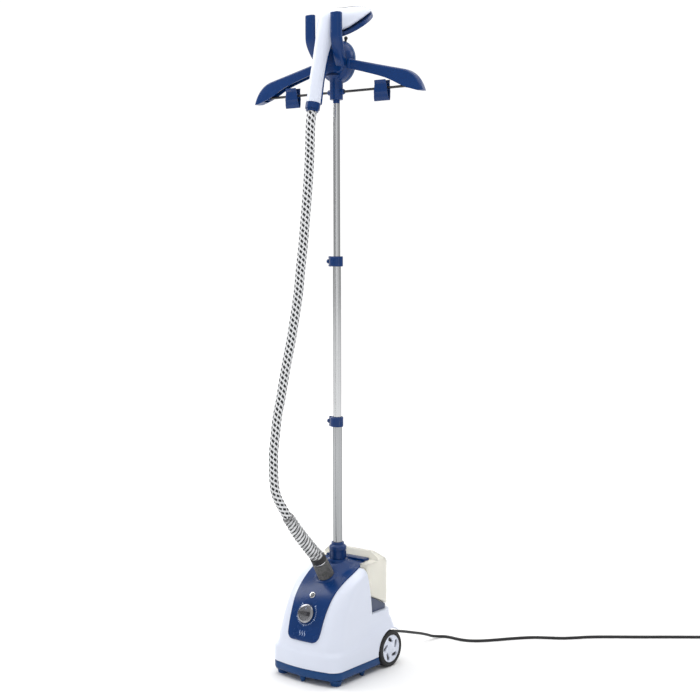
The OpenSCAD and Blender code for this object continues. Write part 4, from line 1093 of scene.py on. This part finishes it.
# a thin black line along the top centre of the handset's head
seam = [head_point(r, 90 - 0.55 * k, 0.0) for k, r in enumerate(fine_rows[48:])]
make("handset_dark_line", tube(seam, lambda k: 0.9 * min(1.0, 0.2 + k / 8), n=8), BLACK, "handset", angle=60)

# ---- mast nut, clamps and levers
nut = [(11.2, 268.2), (18.6, 268.2), (19.2, 268.8), (19.2, 288.6), (19.8, 289.6), (21.0, 290.4),
       (21.0, 297.4),
       (19.6, 299.6), (15.8, 302.6), (15.4, 304), (15.4, 307.6), (14.8, 308.2), (11.2, 308.2)]
grip = lathe([(0.01, 269), (1.4, 269.4), (1.9, 271), (1.9, 286), (1.4, 287.6), (0.01, 288)], 12)
parts = [place(washer(nut, 96), at_mast)]
for i in range(12):
    c = 2 * pi * i / 12
    parts.append(place(grip, shift(18.7 * cos(c), MAST_Y + 18.7 * sin(c))))
make("mast_nut", join(*parts), NAVY, "nut", "lock_nut")
PIN_X = -20


def knuckle_at(z0, z1):
    """Barrel with rounded ends on a clamp's pin."""
    profile = [(0.01, z0), (3.8, z0), (4.4, z0 + 0.6), (4.4, z1 - 0.6), (3.8, z1), (0.01, z1)]
    return place(lathe(profile, 32), shift(PIN_X, MAST_Y))


for name, full, body, z, r in (("low", "lower", "base", 599, 11.06),
                               ("high", "upper", "mast_middle", 981, 9.56)):
    ring = [(r, z - 12), (13.6, z - 12), (14.5, z - 11.1), (14.5, z + 11.1), (13.6, z + 12), (r, z + 12)]
    parts = [place(washer(ring, 72), at_mast)]
    for a, b in ((-12, -7.1), (7.1, 12)):
        parts.append(knuckle_at(z + a, z + b))
        parts.append(slab([(PIN_X, 4), (-12.5, 4), (-12.5, 12), (PIN_X, 12)], z + a + 0.2, z + b - 0.2, 2))
    make("clamp_collar_" + name, join(*parts), NAVY, body, full + "_clamp")
    lever = []
    for i in range(41):
        c = radians(199 + 128 * i / 40)
        e = min(i, 40 - i)
        ri, ro, hz = 14.75, 15.4 + 2.6 * min(1.0, 0.3 + e / 3), 11 - 1.2 * max(0.0, 1 - e / 3) ** 2
        lever.append([(q * cos(c), MAST_Y + q * sin(c), z + w) for q, w in
                      ((ri, -hz), (ro - 0.9, -hz), (ro, 0.9 - hz), (ro, hz - 0.9), (ro - 0.9, hz),
                       (ri, hz))])
    parts = [loft(lever), knuckle_at(z - 6.8, z + 6.8)]
    web = ((-2.4, -6.6), (2.4, -6.6), (2.4, 6.6), (-2.4, 6.6))
    parts.append(loft([[(PIN_X + u * 0.5 + w * 0.87, MAST_Y - u * 0.87 + w * 0.5, z + h) for w, h in web]
                       for u in (0, 8)]))
    nub = lathe([(0.01, 0), (5.0, 0), (5.0, 4.4), (4.3, 5.4), (0.01, 5.6)], 32)
    parts.append(place(nub, lambda q: Vector((-23.8 - q.z, MAST_Y + q.x * 0.72, z + q.y))))
    make("clamp_lever_" + name, join(*parts), NAVY, name + "_lever", full + "_lever")

# ---- materials of the parts that stay as they are
keep = {
    NAVY: "handset_cuff steam_plate tank_valve",
    RUBBER: "tyre_left tyre_right",
    BLACK: "thermostat thermal_fuse rotary_switch terminal_block cord_gland cord_clamp valve_plunger coil_tie",
    CABLE: "mains_plug", ALU_LOW_SHADED: "lower_tube", ALU: "middle_tube upper_tube", CAST: "boiler_body",
    STEEL: "base_screws axle heating_element lower_clamp_pin upper_clamp_pin", DARK_METAL: "clip_bars",
    SILICONE: "feed_tube steam_pipe",
}
for material, names in keep.items():
    for name in names.split():
        data = nodes[name].data
        data.materials.clear()
        data.materials.append(material)
        for poly in data.polygons:
            poly.material_index = 0

# ---- studio
FLOOR = 14
floor_mesh = bpy.data.meshes.new("floor")
corners = [(-FLOOR, -FLOOR, 0), (FLOOR, -FLOOR, 0), (FLOOR, FLOOR, 0), (-FLOOR, FLOOR, 0)]
floor_mesh.from_pydata(corners, [], [(0, 1, 2, 3)])
floor = in_scene("floor", floor_mesh)
floor_mat = Mat(bpy.data.materials.new("floor_paper"))
floor_mesh.materials.append(floor_mat.m)
# painted light: the floor glows brighter with its distance from the object, so that it fades to white
far = floor_mat.node("ShaderNodeVectorMath", operation="LENGTH")
floor_mat.link(floor_mat.node("ShaderNodeNewGeometry").outputs["Position"], far.inputs[0])
painted_floor_glow = floor_mat.ramp(far.outputs["Value"], 0.0, 0.58, 1.0, 3.2)
floor_mat.link(painted_floor_glow, floor_mat.b.inputs["Emission Strength"])
floor_mat.b.inputs["Emission Color"].default_value = (1, 1, 1, 1)
floor_mat.b.inputs["Base Color"].default_value = (0.90, 0.90, 0.90, 1)
floor_mat.b.inputs["Roughness"].default_value = 0.8
# brightness by direction, from behind the camera to straight ahead of it
STOPS = [(0.0, 0.64), (0.24, 0.60), (0.42, 0.34), (0.64, 0.32), (0.80, 0.6), (0.87, 1.0)]
sky = Mat(bpy.data.worlds.new("studio"), "Background")
bpy.context.scene.world = sky.m
ahead = sky.node("ShaderNodeVectorMath", operation="DOT_PRODUCT")
ahead.inputs[1].default_value = (-0.61, 0.79, 0.0)
sky.link(sky.node("ShaderNodeTexCoord").outputs["Generated"], ahead.inputs[0])
sweep = sky.node("ShaderNodeValToRGB")
for at, value in STOPS:
    sweep.color_ramp.elements.new(at).color = (value, value, value, 1)
sweep.color_ramp.elements.remove(sweep.color_ramp.elements[0])
sweep.color_ramp.elements[-1].color = (1, 1, 1, 1)
sky.link(sky.math("ADD", sky.math("MULTIPLY", ahead.outputs["Value"], 0.5), 0.5), sweep.inputs["Fac"])
sky.link(sweep.outputs[0], sky.b.inputs["Color"])
sky.b.inputs["Strength"].default_value = 1.06


def area(name, at, to, size, power):
    data = bpy.data.lights.new(name, "AREA")
    data.shape, data.size, data.size_y = "RECTANGLE", size[0], size[1]
    data.energy = power
    obj = in_scene(name, data)
    obj.location = at
    obj.rotation_mode = "QUATERNION"
    obj.rotation_quaternion = (Vector(to) - Vector(at)).to_track_quat("-Z", "Y")


area("key", (-2.7, -0.9, 2.7), (0, 0, 0.7), (1.4, 2.4), 46)
area("fill", (2.2, -3.4, 1.9), (0, 0, 0.6), (3.0, 3.0), 9)
area("rim", (1.2, 2.6, 2.6), (0, 0, 0.9), (2.0, 1.0), 14)
area("overhead", (0, 0.2, 3.6), (0, 0.2, 0), (4.5, 4.5), 110)
bpy.context.scene.view_settings.view_transform = "Standard"
